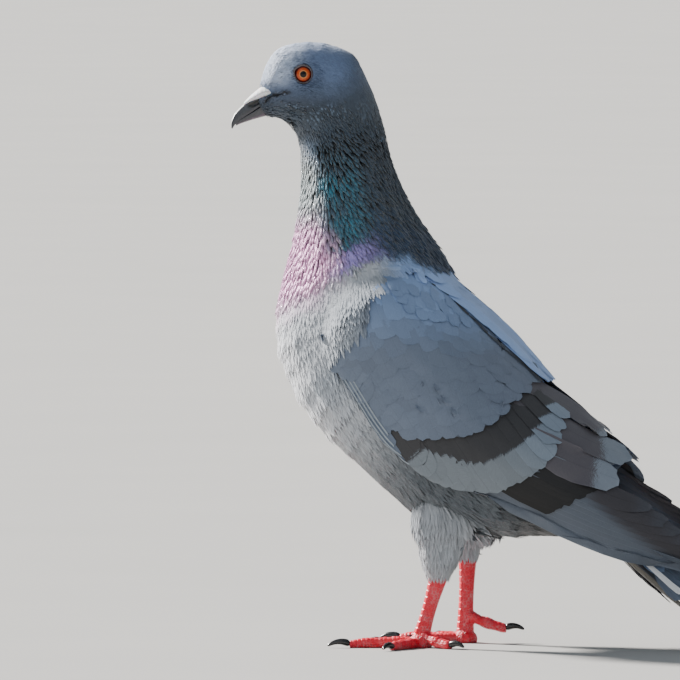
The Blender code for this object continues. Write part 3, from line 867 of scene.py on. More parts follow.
def vane_material(name, roughness, edge=0.16, serration=0.012, soft=0.004, shaft_depth=0.22):
    """Vane of a wing or tail feather: barbs, shaft, a dark band and what lies beyond it.

    The band attribute holds where along the feather the band starts and ends."""
    n = Nodes(name, (0.2, 0.2, 0.22), roughness)
    x, y, off = across_and_along(n)
    tone = n.attribute("tone")
    slope = n.math("SUBTRACT", n.product(y, n.attribute("span")), n.product(off, 9.0))
    lines = n.math("SINE", n.product(slope, 11.0))
    fine = n.noise(n.vector(n.product(x, 3.0), n.product(slope, 2.2), tone), 2.5, 3.0, 0.6)
    start, end, dark = n.split(n.attribute("band", "Vector"))
    place = n.math("ADD", y, n.product(n.math("SUBTRACT", fine, 0.5), serration * 8.0))
    past_start, past_end = (n.math("SUBTRACT", place, edge_at) for edge_at in (start, end))
    band = n.product(n.rise(past_start, -soft, soft), n.rise(past_end, -soft - 0.008, soft + 0.012, 0.0, 1.0), dark)
    colour = n.mix(n.attribute("tint", "Color"), n.attribute("beyond", "Color"), n.rise(past_end, -soft, soft))
    colour = n.mix(colour, n.attribute("band_tint", "Color"), band)
    shaft = n.product(n.rise(off, 0.008, 0.024, 0.0, 1.0), shaft_depth)
    rim = n.math("MAXIMUM", n.rise(off, 0.468, 0.494), n.rise(y, 0.978, 0.996))
    bright = n.product(
        n.rise(fine, 0.3, 0.7, 1.07, 0.93),
        n.rise(tone, 0.0, 1.0, 1.04, 0.96),
        n.math("MULTIPLY_ADD", lines, 0.035, 1.0),
        n.math("SUBTRACT", 1.0, shaft),
        n.math("MULTIPLY_ADD", rim, edge, 1.0),
        n.rise(y, 0.0, 0.5, 1.0, 0.85),
    )
    n.paint(n.scaled(colour, bright))
    n.bump(n.math("ADD", n.product(lines, 0.5), n.product(shaft, 6.0)), 0.00006, 0.5)
    return n.fix(sheen_weight=0.15, sheen_roughness=0.45, specular_ior_level=0.35)


def skin_material():
    """Skin under the feathers, darker where the plumage is pale: painted shade in the gaps between the feathers."""
    n = Nodes("bird_skin", (0.3, 0.3, 0.3), 0.8)
    cells = n.noise(n.where(), 900.0, 3.0)
    tint = n.attribute("tint", "Color")
    _, green, _ = n.split(tint)
    n.paint(n.scaled(tint, n.product(n.rise(cells, 0.3, 0.7, 1.05, 0.9), n.rise(green, 0.07, 0.18, 0.92, 0.5))))
    n.bump(cells, 0.0003, 0.5)
    return n.fix()


def leg_material():
    """Red skin in small scales, with pale seams, pale dust and darker blotches."""
    b = bare_parts()
    n = Nodes("leg_skin", b.leg, 0.45)
    where = n.where()
    cells = n.add(
        "ShaderNodeTexVoronoi", {"Vector": where, "Scale": 820.0, "Randomness": 0.85}, 0, feature="DISTANCE_TO_EDGE"
    )
    seams = n.product(n.rise(cells, 0.02, 0.13, 0.0, 1.0), n.math("SUBTRACT", 1.0, n.attribute("scute")))
    seams = n.math("MAXIMUM", seams, n.product(n.attribute("crease"), 0.5))
    blotch = n.noise(where, 260.0, 4.0, 0.6)
    red = n.mix(b.leg * 0.85, (0.74, 0.05, 0.075), n.rise(blotch, 0.40, 0.70))
    dust = n.rise(n.noise(where, 2600.0, 3.0, 0.7), 0.60, 0.74, 0.12)
    share = n.math("MAXIMUM", n.product(seams, n.rise(blotch, 0.36, 0.66, 0.62, 0.04)), dust)
    n.paint(n.mix(red, b.leg_scale, share), n.rise(share, 0.0, 0.8, 0.62, 0.38))
    n.bump(n.math("SUBTRACT", 1.0, seams), 0.00022, 0.8)
    return n.fix(subsurface_weight=0.12, subsurface_scale=0.001)


def horn_material(name, colour, ridge, roughness):
    """Dark horn with fine growth lines, paler by the ridge attribute (a painted highlight along the bill's ridge) and
    darker by the slit attribute (painted shade in the nostril).
    """
    n = Nodes(name, colour, roughness)
    grain = n.noise(n.where(), 1400.0, 4.0, 0.6)
    shade = n.scaled(n.mix(colour, ridge, n.attribute("ridge")), n.rise(grain, 0.3, 0.7, 1.25, 0.75))
    # slit darkens the nostril: painted shade in its recess
    shade = n.scaled(shade, n.math("MULTIPLY_ADD", n.attribute("slit"), -0.9, 1.0))
    n.paint(shade, n.rise(grain, 0.3, 0.7, roughness + 0.1, roughness - 0.06))
    n.bump(grain, 0.00005, 0.5)
    return n.fix(coat_weight=0.25, coat_roughness=0.2)


def cere_material():
    """Chalky skin, mottled at a fine scale."""
    b = bare_parts()
    n = Nodes("cere", b.cere, 0.75)
    chalk = n.noise(n.where(), 1500.0, 5.0, 0.7)
    n.paint(n.scaled(b.cere, n.rise(chalk, 0.3, 0.7, 1.05, 0.78)))
    n.bump(chalk, 0.00012, 0.7)
    return n.fix(subsurface_weight=0.15, subsurface_scale=0.001)


def lid_material():
    """Grey bare skin with paler grain."""
    b = bare_parts()
    n = Nodes("lid", b.lid, 0.5)
    grain = n.noise(n.where(), 1800.0, 4.0, 0.6)
    n.paint(n.mix(b.lid, (0.17, 0.15, 0.165), n.rise(grain, 0.4, 0.65)))
    n.bump(grain, 0.0001, 0.6)
    return n.fix()


def eye_material():
    """Iris rings by distance from the pupil's middle, with fine spokes, under a wet front."""
    b = bare_parts()
    n = Nodes("eye", b.iris, 0.25)
    radius, angle, _ = n.split(n.add("ShaderNodeUVMap", uv_map="vane"))
    spokes = n.noise(n.vector(n.product(radius, 1.5), n.product(angle, 34.0)), 3.0, 4.0, 0.65)
    spots = n.noise(n.vector(n.product(radius, 9.0), n.product(angle, 30.0)), 1.0, 3.0)
    wobble = n.math("MULTIPLY_ADD", spokes, 0.05, n.math("SUBTRACT", radius, 0.025))
    iris = n.mix(b.iris * 0.55, b.iris, n.rise(spokes, 0.35, 0.62))
    iris = n.mix(iris, (0.70, 0.20, 0.035), n.rise(spots, 0.55, 0.72, 0.5))
    iris = n.mix(iris, b.iris_ring, n.rise(wobble, 0.40, 0.52, 0.0, 0.85))
    iris = n.mix(iris, (0.060, 0.003, 0.002), n.rise(wobble, 0.62, 0.82))
    n.paint(n.mix(iris, (0.002, 0.002, 0.002), n.rise(radius, 0.345, 0.375, 0.0, 1.0)))
    return n.fix(coat_weight=0.35, coat_roughness=0.03, specular_ior_level=0.15)


def floor_material():
    n = Nodes("pale_floor", (0.41, 0.40, 0.385), 0.75)
    n.paint(n.mix((0.39, 0.385, 0.37), (0.43, 0.42, 0.405), n.noise(n.where(), 6.0, 3.0)))
    return n.fix(specular_ior_level=0.2)


# --- skin


UNWRAP_ANGLE, UNWRAP_MARGIN = 72, 0.002  # degrees, and a share of the map


def unwrap(thing):
    """An unwrap of the piece's own shape, on the map that its coat's patches use too."""
    bpy.ops.object.select_all(action="DESELECT")
    thing.select_set(True)
    bpy.context.view_layer.objects.active = thing
    bpy.ops.object.mode_set(mode="EDIT")
    bpy.ops.mesh.select_all(action="SELECT")
    bpy.ops.uv.smart_project(angle_limit=math.radians(UNWRAP_ANGLE), island_margin=UNWRAP_MARGIN)
    bpy.ops.object.mode_set(mode="OBJECT")
    thing.data.uv_layers[0].name = "OFBake"


def wing_cores():
    """Both wings' plates, moved in towards the body by the depth of their feathers."""
    thing = swollen_union("wing_cores", ["wing_left", "wing_right"], 0.35, sizes().skin_voxel, 2)
    points = to_bird(points_of(thing.data))
    line, _ = beside(points)
    move_to(thing.data, points + unit(line - points) * (sizes().wing_depth / MM))
    return thing


def make_skin():
    """One closed skin for head, neck, trunk, wings, thighs and the root of the tail."""
    s = sizes()
    end = ("tail", (0.0, TAIL_ROOT_Y, 18.0), Vector((0.0, 0.85, -0.5)))
    nodes = [node for node in FLESH if not node.startswith("wing")] + ["tail"]
    thing = swollen_union("skin", nodes, 0.2, s.skin_voxel, 5, end)
    mesh = thing.data
    points, normals = to_bird(points_of(mesh)), normals_of(mesh)
    owners = owners_of(points)
    depth = np.where(owners == "head", s.head_depth / MM, s.coat_depth / MM)
    depth = np.where(owners == "thigh", 1.4, depth)
    eye, _ = eye_distance(points)
    depth *= np.where(owners == "head", 0.35 + 0.65 * ramp(eye, 4.0, 7.5), 1.0)
    move_to(mesh, points - normals * spread(mesh, depth, 8)[:, None])
    cores = wing_cores()
    written(opened(mesh, cores.data), mesh)
    bpy.data.objects.remove(cores)
    applied(thing, ("REMESH", {"mode": "VOXEL", "voxel_size": s.skin_voxel}))
    mesh = thing.data
    relax(mesh, 4)
    points = to_bird(points_of(mesh))
    back = dorsal(points)
    # on the neck the skin is painted much darker, as shade in the gaps between the neck's feathers
    on_neck = ramp(neck_base(points, back), -6, 2) * fall(points[:, 2] - head_base(back), -4, 4)
    store(mesh, "tint", tints(points, owners_of(points)) * (1 - 0.75 * on_neck)[:, None], "FLOAT_COLOR")
    unwrap(thing)
    return finish(thing, skin_material(), FLESH)


@functools.lru_cache
def skin_map():
    """The skin's triangles with their places on the OFBake map."""
    mesh = bpy.data.objects["skin"].data
    corners = read(mesh.uv_layers["OFBake"].data, "uv", 2)[triangles_of(mesh, "loops")]
    points, triangles = to_bird(points_of(mesh)), triangles_of(mesh)
    return tree_over(points, triangles), points[triangles], corners


def skin_place(point):
    """Where the nearest spot of skin lies on the OFBake map."""
    tree, triangles, corners = skin_map()
    place, _, face, _ = tree.find_nearest(Vector(point))
    a, b, c = triangles[face]
    first, second, offset = b - a, c - a, np.array(place) - a
    d00, d01, d11 = first @ first, first @ second, second @ second
    d20, d21 = offset @ first, offset @ second
    scale = max(d00 * d11 - d01 * d01, 1e-12)
    v, w = (d11 * d20 - d01 * d21) / scale, (d00 * d21 - d01 * d20) / scale
    return corners[face][0] * (1 - v - w) + corners[face][1] * v + corners[face][2] * w


# --- small feathers


SLIM_ROWS = ((0.35, 0.8), (0.75, 0.86))
ROUND_ROWS = ((0.3, 0.75), (0.65, 1.0), (0.9, 0.78))


def small_feather(name, length, half_width, depth, lift, camber=0.16, curl=0.0, rows=SLIM_ROWS):
    """A closed vane, root at the origin and tip along +Y, in millimetres.

    Its rows are shares of its length and of its half width. Its tip bends back towards the
    body by curl."""

    def high(t):
        return -depth + (depth + lift) * t**0.75 - curl * t * t

    points, vane, faces = [(0.0, 0.0, high(0.0))], [(0.5, 0.0)], []
    for t, width in rows:
        for x in (-1.0, 0.0, 1.0):
            rise = camber * half_width if x == 0.0 else 0.0
            points.append((x * width * half_width, t * length, high(t) + rise))
            vane.append((0.5 + 0.5 * x * width, t))
    tip = len(points)
    points.append((0.0, length, high(1.0)))
    vane.append((0.5, 1.0))
    faces += [(0, 1, 2), (0, 2, 3), (0, 3, 1)]
    for a in range(1, tip - 3, 3):
        faces += [(a, a + 3, a + 4, a + 1), (a + 1, a + 4, a + 5, a + 2), (a, a + 2, a + 5, a + 3)]
    faces += [(tip - 3, tip, tip - 2), (tip - 2, tip, tip - 1), (tip - 3, tip - 1, tip)]
    mesh = bpy.data.meshes.new(name)
    mesh.from_pydata([tuple(v * MM for v in point) for point in points], [], faces)
    write_map(outward(mesh), "vane", vane)
    mesh.shade_smooth()
    return make_object(name, mesh)


class Tree(Graph):
    """A Geometry Nodes tree."""

    def __init__(self, name):
        self.tree = bpy.data.node_groups.new(name, "GeometryNodeTree")
        self.start = self.tree.nodes.new("NodeGroupInput")
        self.end = self.tree.nodes.new("NodeGroupOutput")

    def input(self, name, kind):
        self.tree.interface.new_socket(name, in_out="INPUT", socket_type="NodeSocket" + kind)
        return self.start.outputs[name]

    def named(self, name, kind="FLOAT"):
        return self.add("GeometryNodeInputNamedAttribute", {"Name": name}, data_type=kind)

    def random(self, low, high, seed, kind="FLOAT"):
        return self.add("FunctionNodeRandomValue", {"Min": low, "Max": high, "Seed": seed}, data_type=kind)

    def keep(self, geometry, name, value, kind="FLOAT", domain="POINT"):
        inputs = {"Geometry": geometry, "Name": name, "Value": value}
        return self.add("GeometryNodeStoreNamedAttribute", inputs, data_type=kind, domain=domain)


MOST_FEATHERS = 2.2  # tried in each square of the spacing, before those too close together are dropped
SWAY = np.array([0.35, 0.5, 1.0])  # radians about a feather's own axes at a ruffle of 1


def tract_tree():
    """Spreads one feather over a surface, along its lie, and joins the lot into one mesh."""
    t = Tree("feather_tract")
    t.tree.interface.new_socket("Geometry", in_out="OUTPUT", socket_type="NodeSocketGeometry")
    surface, feather = t.input("Geometry", "Geometry"), t.input("Feather", "Object")
    spacing, ruffle, patch = (t.input(name, "Float") for name in ("Spacing", "Ruffle", "Patch"))
    seed, material = t.input("Seed", "Int"), t.input("Material", "Material")
    most = t.math("DIVIDE", MOST_FEATHERS, t.math("POWER", spacing, 2.0))
    points = t.add(
        "GeometryNodeDistributePointsOnFaces",
        {
            "Mesh": surface,
            "Distance Min": spacing,
            "Density Max": most,
            "Density Factor": t.named("density"),
            "Seed": seed,
        },
        distribute_method="POISSON",
    )
    points = t.keep(points, "root_place", t.named("place", "FLOAT_VECTOR"), "FLOAT_VECTOR")
    points = t.keep(points, "tone", t.random(0.0, 1.0, seed))
    up = t.add("FunctionNodeAlignRotationToVector", {"Vector": t.named("out", "FLOAT_VECTOR")}, axis="Z")
    along = t.add(
        "FunctionNodeAlignRotationToVector",
        {"Rotation": up, "Vector": t.named("lie", "FLOAT_VECTOR")},
        axis="Y",
        pivot_axis="Z",
    )
    sway = t.scaled(t.random(-SWAY, SWAY, seed, "FLOAT_VECTOR"), ruffle)
    swayed = t.add("FunctionNodeEulerToRotation", {"Euler": sway})
    spin = t.add("FunctionNodeRotateRotation", {"Rotation": along, "Rotate By": swayed}, rotation_space="LOCAL")
    scale = t.product(t.named("size"), t.random(0.85, 1.15, seed))
    shape = t.add("GeometryNodeObjectInfo", {"Object": feather}, "Geometry")
    placed = t.add(
        "GeometryNodeInstanceOnPoints", {"Points": points, "Instance": shape, "Rotation": spin, "Scale": scale}
    )
    solid = t.add("GeometryNodeRealizeInstances", {"Geometry": placed})
    spot = t.add("ShaderNodeVectorMath", {0: t.named("vane", "FLOAT_VECTOR"), 1: (-0.5, -0.5, 0.0)}, operation="ADD")
    place = t.named("root_place", "FLOAT_VECTOR")
    spot = t.add("ShaderNodeVectorMath", {0: place, 1: t.scaled(spot, patch)}, operation="ADD")
    solid = t.keep(solid, "OFBake", spot, "FLOAT2", "CORNER")
    solid = t.add("GeometryNodeSetMaterial", {"Geometry": solid, "Material": material})
    t.tree.links.new(solid, t.end.inputs["Geometry"])
    return t.tree


BARE = 0.004  # no feathers grow where the density is less
SMALL_PATCH = 0.003  # of the skin's map, for the colour of one feather


def lay_tract(name, tree, feather, density, size, spacing, ruffle, material, slot, seed):
    """Cover the outer form where density is above 0 with one kind of feather."""
    mesh = outer_form().copy()
    store(mesh, "density", density)
    store(mesh, "size", size)
    shape = opened(mesh)
    bare = [vert for vert, share in zip(shape.verts, density) if share < BARE]
    bmesh.ops.delete(shape, geom=bare, context="VERTS")
    thing = make_object(name, written(shape, mesh))
    modifier = thing.modifiers.new("Feathers", "NODES")
    modifier.node_group = tree
    values = {"Feather": feather, "Spacing": spacing * MM, "Ruffle": ruffle, "Patch": SMALL_PATCH}
    values.update({"Seed": seed, "Material": material})
    for item in tree.interface.items_tree:
        if item.in_out == "INPUT" and item.name in values:
            modifier[item.identifier] = values[item.name]
    done = applied(thing).data
    done.materials.clear()
    done.materials.append(material)
    done.polygons.foreach_set("material_index", np.zeros(len(done.polygons), np.int32))
    for extra in ("root_place", "density", "size", "lie", "out", "place"):
        if extra in done.attributes:
            done.attributes.remove(done.attributes[extra])
    finish(thing, None)
    if slot != "neck_feathers":
        done.set_sharp_from_angle(angle=SHARP_ANGLE)


def open_places(points, normals):
    """1 where the outer form faces open air, 0 in the narrow gaps under the wings."""
    tree, start, narrow = back_form().tree, points + normals * 0.4, 7.0
    return np.array([tree.ray_cast(Vector(a), Vector(b), narrow)[0] is None for a, b in zip(start, normals)]) * 1.0


def prepare_outer_form():
    """Write the plumage's colour, lie and place on the map at every vertex of the outer form."""
    mesh = outer_form()
    points, normals = to_bird(points_of(mesh)), normals_of(mesh)
    owners = owners_of(points)
    store(mesh, "tint", tints(points, owners), "FLOAT_COLOR")
    store(mesh, "out", normals, "FLOAT_VECTOR")
    way = unit(spread(mesh, lies(points, normals, owners), 4))
    store(mesh, "lie", way, "FLOAT_VECTOR")
    places = np.array([skin_place(point) for point in points])
    store(mesh, "place", np.c_[places, np.zeros(len(places))], "FLOAT_VECTOR")
    return mesh, points, normals, owners, way


def bill_clearance(points):
    """Distance from the line where the bill's halves meet, and whether the cere leaves the spot free."""
    forward, height = on_face(points)
    gape = curve([(27.0, 216.4), (23.7, 219.0), (20.6, 220.2), (17.8, 220.8)], 14)
    line = np.min([np.hypot(forward - f, height - h) for f, h in gape], axis=0)
    in_cere = (forward > 22.6) & (np.abs(height - 220.8) < 2.4)
    return line, ~in_cere * 1.0


def make_small_coat():
    """Head, neck, breast, back, tail coverts and thighs, one kind of feather after another.

    A feather's shape is its length, half width, depth of root, lift of tip, camber and curl. A
    tract has that shape, and its own density, size, spacing and ruffle."""
    s = sizes()
    mesh, points, normals, owners, way = prepare_outer_form()
    back = dorsal(points)
    base = neck_base(points, back)
    y, height = points[:, 1], points[:, 2]
    over_head_base = height - head_base(back)
    on_head, on_neck = owners == "head", owners == "neck"
    on_wing, on_tail, on_thigh = owners == "wing", owners == "tail", owners == "thigh"
    body = ~(on_wing | on_tail | on_thigh | (owners == "primaries"))
    tree = tract_tree()
    free = open_places(points, normals)

    def tract(name, shape, density, size, spacing, ruffle, material, slot, step):
        feather = small_feather("one_" + name, *shape)
        density = spread(mesh, np.clip(density, 0, 1) * free, 2)
        density[free < 0.5] = 0.0
        lay_tract("coat_" + name, tree, feather, density, size, spacing, ruffle, material, slot, s.seed + step)
        bpy.data.objects.remove(feather)

    eye, forward = eye_distance(points)
    line, cere = bill_clearance(points)
    face_size = 0.42 + 0.58 * ramp(eye, 4.0, 12.0) * (1 - 0.55 * ramp(forward, 10.0, 24.0))
    face_size *= 1 + 0.9 * fall(over_head_base, -8, 6)
    tip_eye, _ = eye_distance(points + way * (s.head_feather / MM * face_size * 0.9)[:, None])
    clear = (eye > 4.15) & (tip_eye > 3.75) & (line > 0.5) & (cere > 0.0)
    face = ramp(over_head_base, -7, 2)
    head = (on_head | on_neck) * clear * face
    material = small_feather_material("head_feathers", 0.55, streak=0.24, edge=0.10, gap=0.80, sheen=0.2, fleck=2.0)
    shape = (s.head_feather / MM, 0.50, 0.5, 0.06, 0.12, 0.30)
    tract("head", shape, head, face_size, 0.44, 0.06, material, "head_feathers", 1)

    neck = ramp(base, -4, 2) * fall(over_head_base, -2, 7) * (on_neck | on_head | body)
    gloss = {"sheen": 0.3, "metallic": 0.25}
    # dark rims and dark roots: painted shade in the gaps between the neck's feathers
    material = small_feather_material("neck_feathers", 0.36, streak=0.36, edge=-0.60, gap=0.14, **gloss)
    shape = (s.neck_feather / MM, 0.98, 1.6, 0.36, 0.30, 0.15)
    size = 0.40 + 0.60 * fall(over_head_base, -42, 2)
    tract("neck", shape, neck, size, 1.02, 0.12, material, "neck_feathers", 2)

    dorsal_side = (normals * np.array([0.0, 0.62, 0.78])).sum(axis=1)
    behind = ramp(dorsal_side, 0.30, 0.55) * ramp(y + height * 0.6, 78, 90)
    beyond = y - shoulder_line(height)
    breast_size = 0.62 + 0.38 * ramp(150 - height, 0, 45)
    tips = points + way * (s.breast_feather / MM * 0.8 * breast_size)[:, None]
    clear = fall(tips[:, 1] - shoulder_line(tips[:, 2]), 1.5, 5.0)
    over_wing = on_wing * clear * ramp(height, 119, 127)
    clear = np.where(height > 119, clear, 1.0)
    breast = np.maximum((on_neck | body) * fall(base, 0, 8) * (1 - behind) * ~on_head * clear, over_wing)
    breast = np.maximum(breast, on_thigh * ramp(height, 54, 62))
    material = small_feather_material("breast_feathers", 0.8, streak=0.30, edge=0.03, gap=0.97, sheen=0.4, tip=0.05)
    shape = (s.breast_feather / MM, 1.05, 1.2, 0.0, 0.06, 0.10)
    upper = ramp(height, 100, 102)
    tract("breast", shape, breast * upper, breast_size, 0.66, 0.06, material, "body_feathers", 3)
    tract("belly", shape, breast * (1 - upper), breast_size, 0.72, 0.05, material, "body_feathers", 7)

    reach = ramp(beyond, -16, -8) * fall(beyond, -5.0, -3.0) * ramp(height, 136, 146) * (base < 3)
    shape = (7.0, 0.36, 0.6, 0.15, 0.1, 0.2)
    fringe = (on_wing | on_neck | body) * reach * (y > -46)
    tract("fringe", shape, fringe, 0.75 + 0.25 * ramp(height, 120, 150), 0.72, 0.2, material, "body_feathers", 8)

    material = small_feather_material("back_feathers", 0.66, streak=0.22, edge=0.08, gap=0.85, sheen=0.25)
    shape = (s.back_feather / MM, 2.1, 1.2, 0.05, 0.04, 0.25, ROUND_ROWS)
    down_back = (points - BACK_ZERO) @ DOWN_BACK
    mantle = ramp(down_back, 8, 12) * fall(down_back, 62, 66)
    back_area = body * behind * fall(base, 0, 5) * (1 - mantle)
    size = 0.6 + 0.4 * ramp(down_back, 20, 60)
    tract("back", shape, back_area, size, 1.3, 0.04, material, "body_feathers", 4)

    over = on_tail * ramp(normals[:, 2], -0.1, 0.3) * fall(y, 96, 106)
    under = on_tail * fall(normals[:, 2], -0.90, -0.70) * fall(y, 78, 90)
    shape = (s.tail_covert / MM, 2.6, 1.2, 0.1, 0.06, 0.0, ROUND_ROWS)
    tract("tail_coverts", shape, over + under, np.ones(len(points)), 1.7, 0.05, material, "tail_feathers", 5)

    material = small_feather_material("thigh_feathers", 0.78, streak=0.26, edge=0.10, gap=0.9, sheen=0.4)
    shape = (s.thigh_feather / MM, 0.46, 1.0, 0.55, 0.14)
    near = np.minimum(*[np.hypot(points[:, 0] - sign * 19, y - 6) for _, sign in SIDES])
    skirt = (owners == "trunk") * fall(near, 11, 20) * (height < 60)
    size = 0.42 + 0.58 * ramp(height, 30, 46)
    thighs = on_thigh * fall(height, 60, 68) + 0.5 * skirt
    tract("thighs", shape, thighs, size, 0.60, 0.16, material, "body_feathers", 6)


# --- long feathers

DOWN_FRONT = np.array([0.0, -0.6, -0.8])  # towards the wing's lower front edge
GREATER_COVERTS, SECONDARIES, PRIMARIES = 17, 9, 10
# A feather's width along its length: share of the way to the tip, share of the half width
PRIMARY_OUTLINE = [(0.0, 0.5), (0.3, 0.95), (0.6, 1.0), (0.85, 0.85), (1.0, 0.62)]
TAIL_OUTLINE = [(0.0, 0.45), (0.4, 0.75), (0.8, 1.0), (1.0, 0.93)]
USUAL_OUTLINE = [(0.0, 0.35), (0.15, 0.62), (0.4, 0.9), (0.7, 1.0), (0.9, 0.97), (1.0, 0.9)]
OFF_SURFACE = 1.2  # square millimetres: a feather's edge that is further out hangs free
LOOK_AHEAD = 0.04  # of a feather's length, to find the way it runs


class Vanes:
    """A growing set of long feathers on one surface, written out as one mesh."""

    def __init__(self, seed, surface):
        self.points, self.faces, self.vane, self.places, self.values = [], [], [], [], []
        self.count = 0
        self.dice = np.random.default_rng(seed)
        self.surface = surface

    def lay(self, path, half_width, drop, look, outline=USUAL_OUTLINE, sideways=None, rows=9, columns=6, slant=0.0,
            thickness=0.35, round_tip=0.9, patch=0.003, ragged=0.012):
        """One feather. path holds points on the surface from root to tip, with its normals.

        drop is the height over the surface at the root, the middle and the tip. slant lifts
        the edge on the side that sideways points to."""
        points, normals = path
        sideways = DOWN_FRONT if sideways is None else sideways
        steps = np.linalg.norm(np.diff(points, axis=0), axis=1)
        total = steps.sum()
        reach = np.r_[0, np.cumsum(steps)] / total
        depth = round_tip * half_width / total
        t_rows = 1 - (1 - np.linspace(0, 1, rows + 1)) ** 1.35
        x_columns = np.sin(np.linspace(-0.5, 0.5, columns + 1) * math.pi)
        jitter = 1 + self.dice.normal(0, ragged, (rows + 1, columns + 1))
        grid = np.zeros((rows + 1, columns + 1, 3))
        under = np.zeros_like(grid)
        vane = np.zeros((rows + 1, columns + 1, 2))

        def reached(values, share):
            return np.array([np.interp(share, reach, column) for column in values.T])

        for i, t in enumerate(t_rows):
            for j, x in enumerate(x_columns):
                arch = math.sqrt(max(1 - x * x, 0.0))
                at = min(t * (1 - depth * (1 - arch)) * (jitter[i, j] if t > 0.6 else 1), 1.0)
                middle, normal = reached(points, at), unit(reached(normals, at))
                way = reached(points, min(at + LOOK_AHEAD, 1.0)) - reached(points, max(at - LOOK_AHEAD, 0.0))
                cross = unit(np.cross(way, normal))
                if cross @ sideways < 0:
                    cross = -cross
                off = x * half_width * np.interp(at, *zip(*outline)) * (jitter[i, j] if abs(x) > 0.9 else 1)
                spot = middle + cross * off
                found, out = self.surface.nearest(spot)
                gap = spot - found
                if gap @ gap > OFF_SURFACE:
                    found, out = spot, normal
                rise = np.interp(at, (0.0, 0.55, 1.0), drop)
                rise += slant * off + 0.02 * half_width * (1 - x * x)
                grid[i, j] = found + out * rise
                under[i, j] = grid[i, j] - out * (thickness * arch * min(1.0, 6 * (1 - t)))
                vane[i, j] = (x * 0.5 + 0.5, at)
        self._write(grid, under, vane, look, total, patch, points[0])

    def _write(self, grid, under, vane, look, total, patch, root):
        rows, columns = grid.shape[:2]
        top = np.arange(rows * columns).reshape(rows, columns)
        inner = np.zeros((rows, columns), bool)
        inner[1:-1, 1:-1] = True
        low = top.copy()
        low[inner] = rows * columns + np.arange(inner.sum())
        upper, lower = quads(top), quads(low)[:, [0, 3, 2, 1]]
        points = np.vstack([grid.reshape(-1, 3), under[inner]])
        flat = np.vstack([vane.reshape(-1, 2), vane[inner]])
        across, along = grid[1, -1] - grid[1, 0], grid[-1, columns // 2] - grid[0, columns // 2]
        if np.cross(across, along) @ (grid[rows // 2, columns // 2] - under[rows // 2, columns // 2]) < 0:
            upper, lower = upper[:, ::-1], lower[:, ::-1]
        self.faces.append(np.vstack([upper, lower]) + self.count)
        self.points.append(points)
        self.vane.append(flat)
        self.places.append(skin_place(root) + (flat - 0.5) * patch)
        row = dict(look, tone=self.dice.random(), span=total)
        self.values.append((len(points), row))
        self.count += len(points)

    def write(self, name, material, slot, mirror=1.0, nodes=()):
        points = np.vstack(self.points) * (mirror, 1, 1)
        faces = np.vstack(self.faces)
        if mirror < 0:
            faces = faces[:, ::-1]
        mesh = mesh_from(name, points, faces)
        write_map(mesh, "vane", np.vstack(self.vane))
        write_map(mesh, "OFBake", np.vstack(self.places))
        kinds = {"band": "FLOAT_VECTOR", "tone": "FLOAT", "span": "FLOAT"}
        for key in ("tint", "beyond", "band_tint", "band", "tone", "span"):
            values = np.vstack([np.tile(np.atleast_1d(row[key]), (count, 1)) for count, row in self.values])
            store(mesh, key, values, kinds.get(key, "FLOAT_COLOR"))
        thing = finish(make_object(name, mesh), material, nodes)
        mesh.set_sharp_from_angle(angle=SHARP_ANGLE)
        return thing

    def side_path(self, line, count=8):
        """A path on the left wing from its points in side view."""
        found = []
        for y, z in curve(line, count):
            spot = self.surface.hit((90.0, y, z), -LEFT)
            if spot is None or spot[0][0] < 0:
                spot = self.surface.nearest((found[-1][0][0] if found else 30.0, y, z))
            found.append(spot)
        return as_path(found)


def look(tint, beyond=None, band_tint=(0.0, 0.0, 0.0), band=(2.0, 3.0, 0.0)):
    """A feather's colours: before the band, beyond it and in it, and where the band lies."""
    beyond = tint if beyond is None else beyond
    return {"tint": tint, "beyond": beyond, "band_tint": band_tint, "band": band}


def as_path(found):
    """A path from the points and normals found on a surface."""
    return np.array([spot for spot, _ in found]), np.array([out for _, out in found])


def slope_of(angle):
    """The way back and down at an angle below level, in side view."""
    return np.array([math.cos(angle), -math.sin(angle)])


def straight(root, tip):
    return [root, (root + tip) / 2, tip]


def between(first, second, share):
    return np.array(first) * (1 - share) + np.array(second) * share


def varied(colour, dice, by):
    """A colour made a little lighter or darker at random."""
    return colour * (1 + dice.normal(0, by))


def along(line, share):
    """The point at a share of the way along an evenly spaced line."""
    steps = np.linspace(0, 1, len(line))
    return np.array([np.interp(share, steps, line[:, 0]), np.interp(share, steps, line[:, 1])])


COVERT_ROWS = 12
SHARE_RAISED = 0.14  # of the coverts, whose tips stand off a little


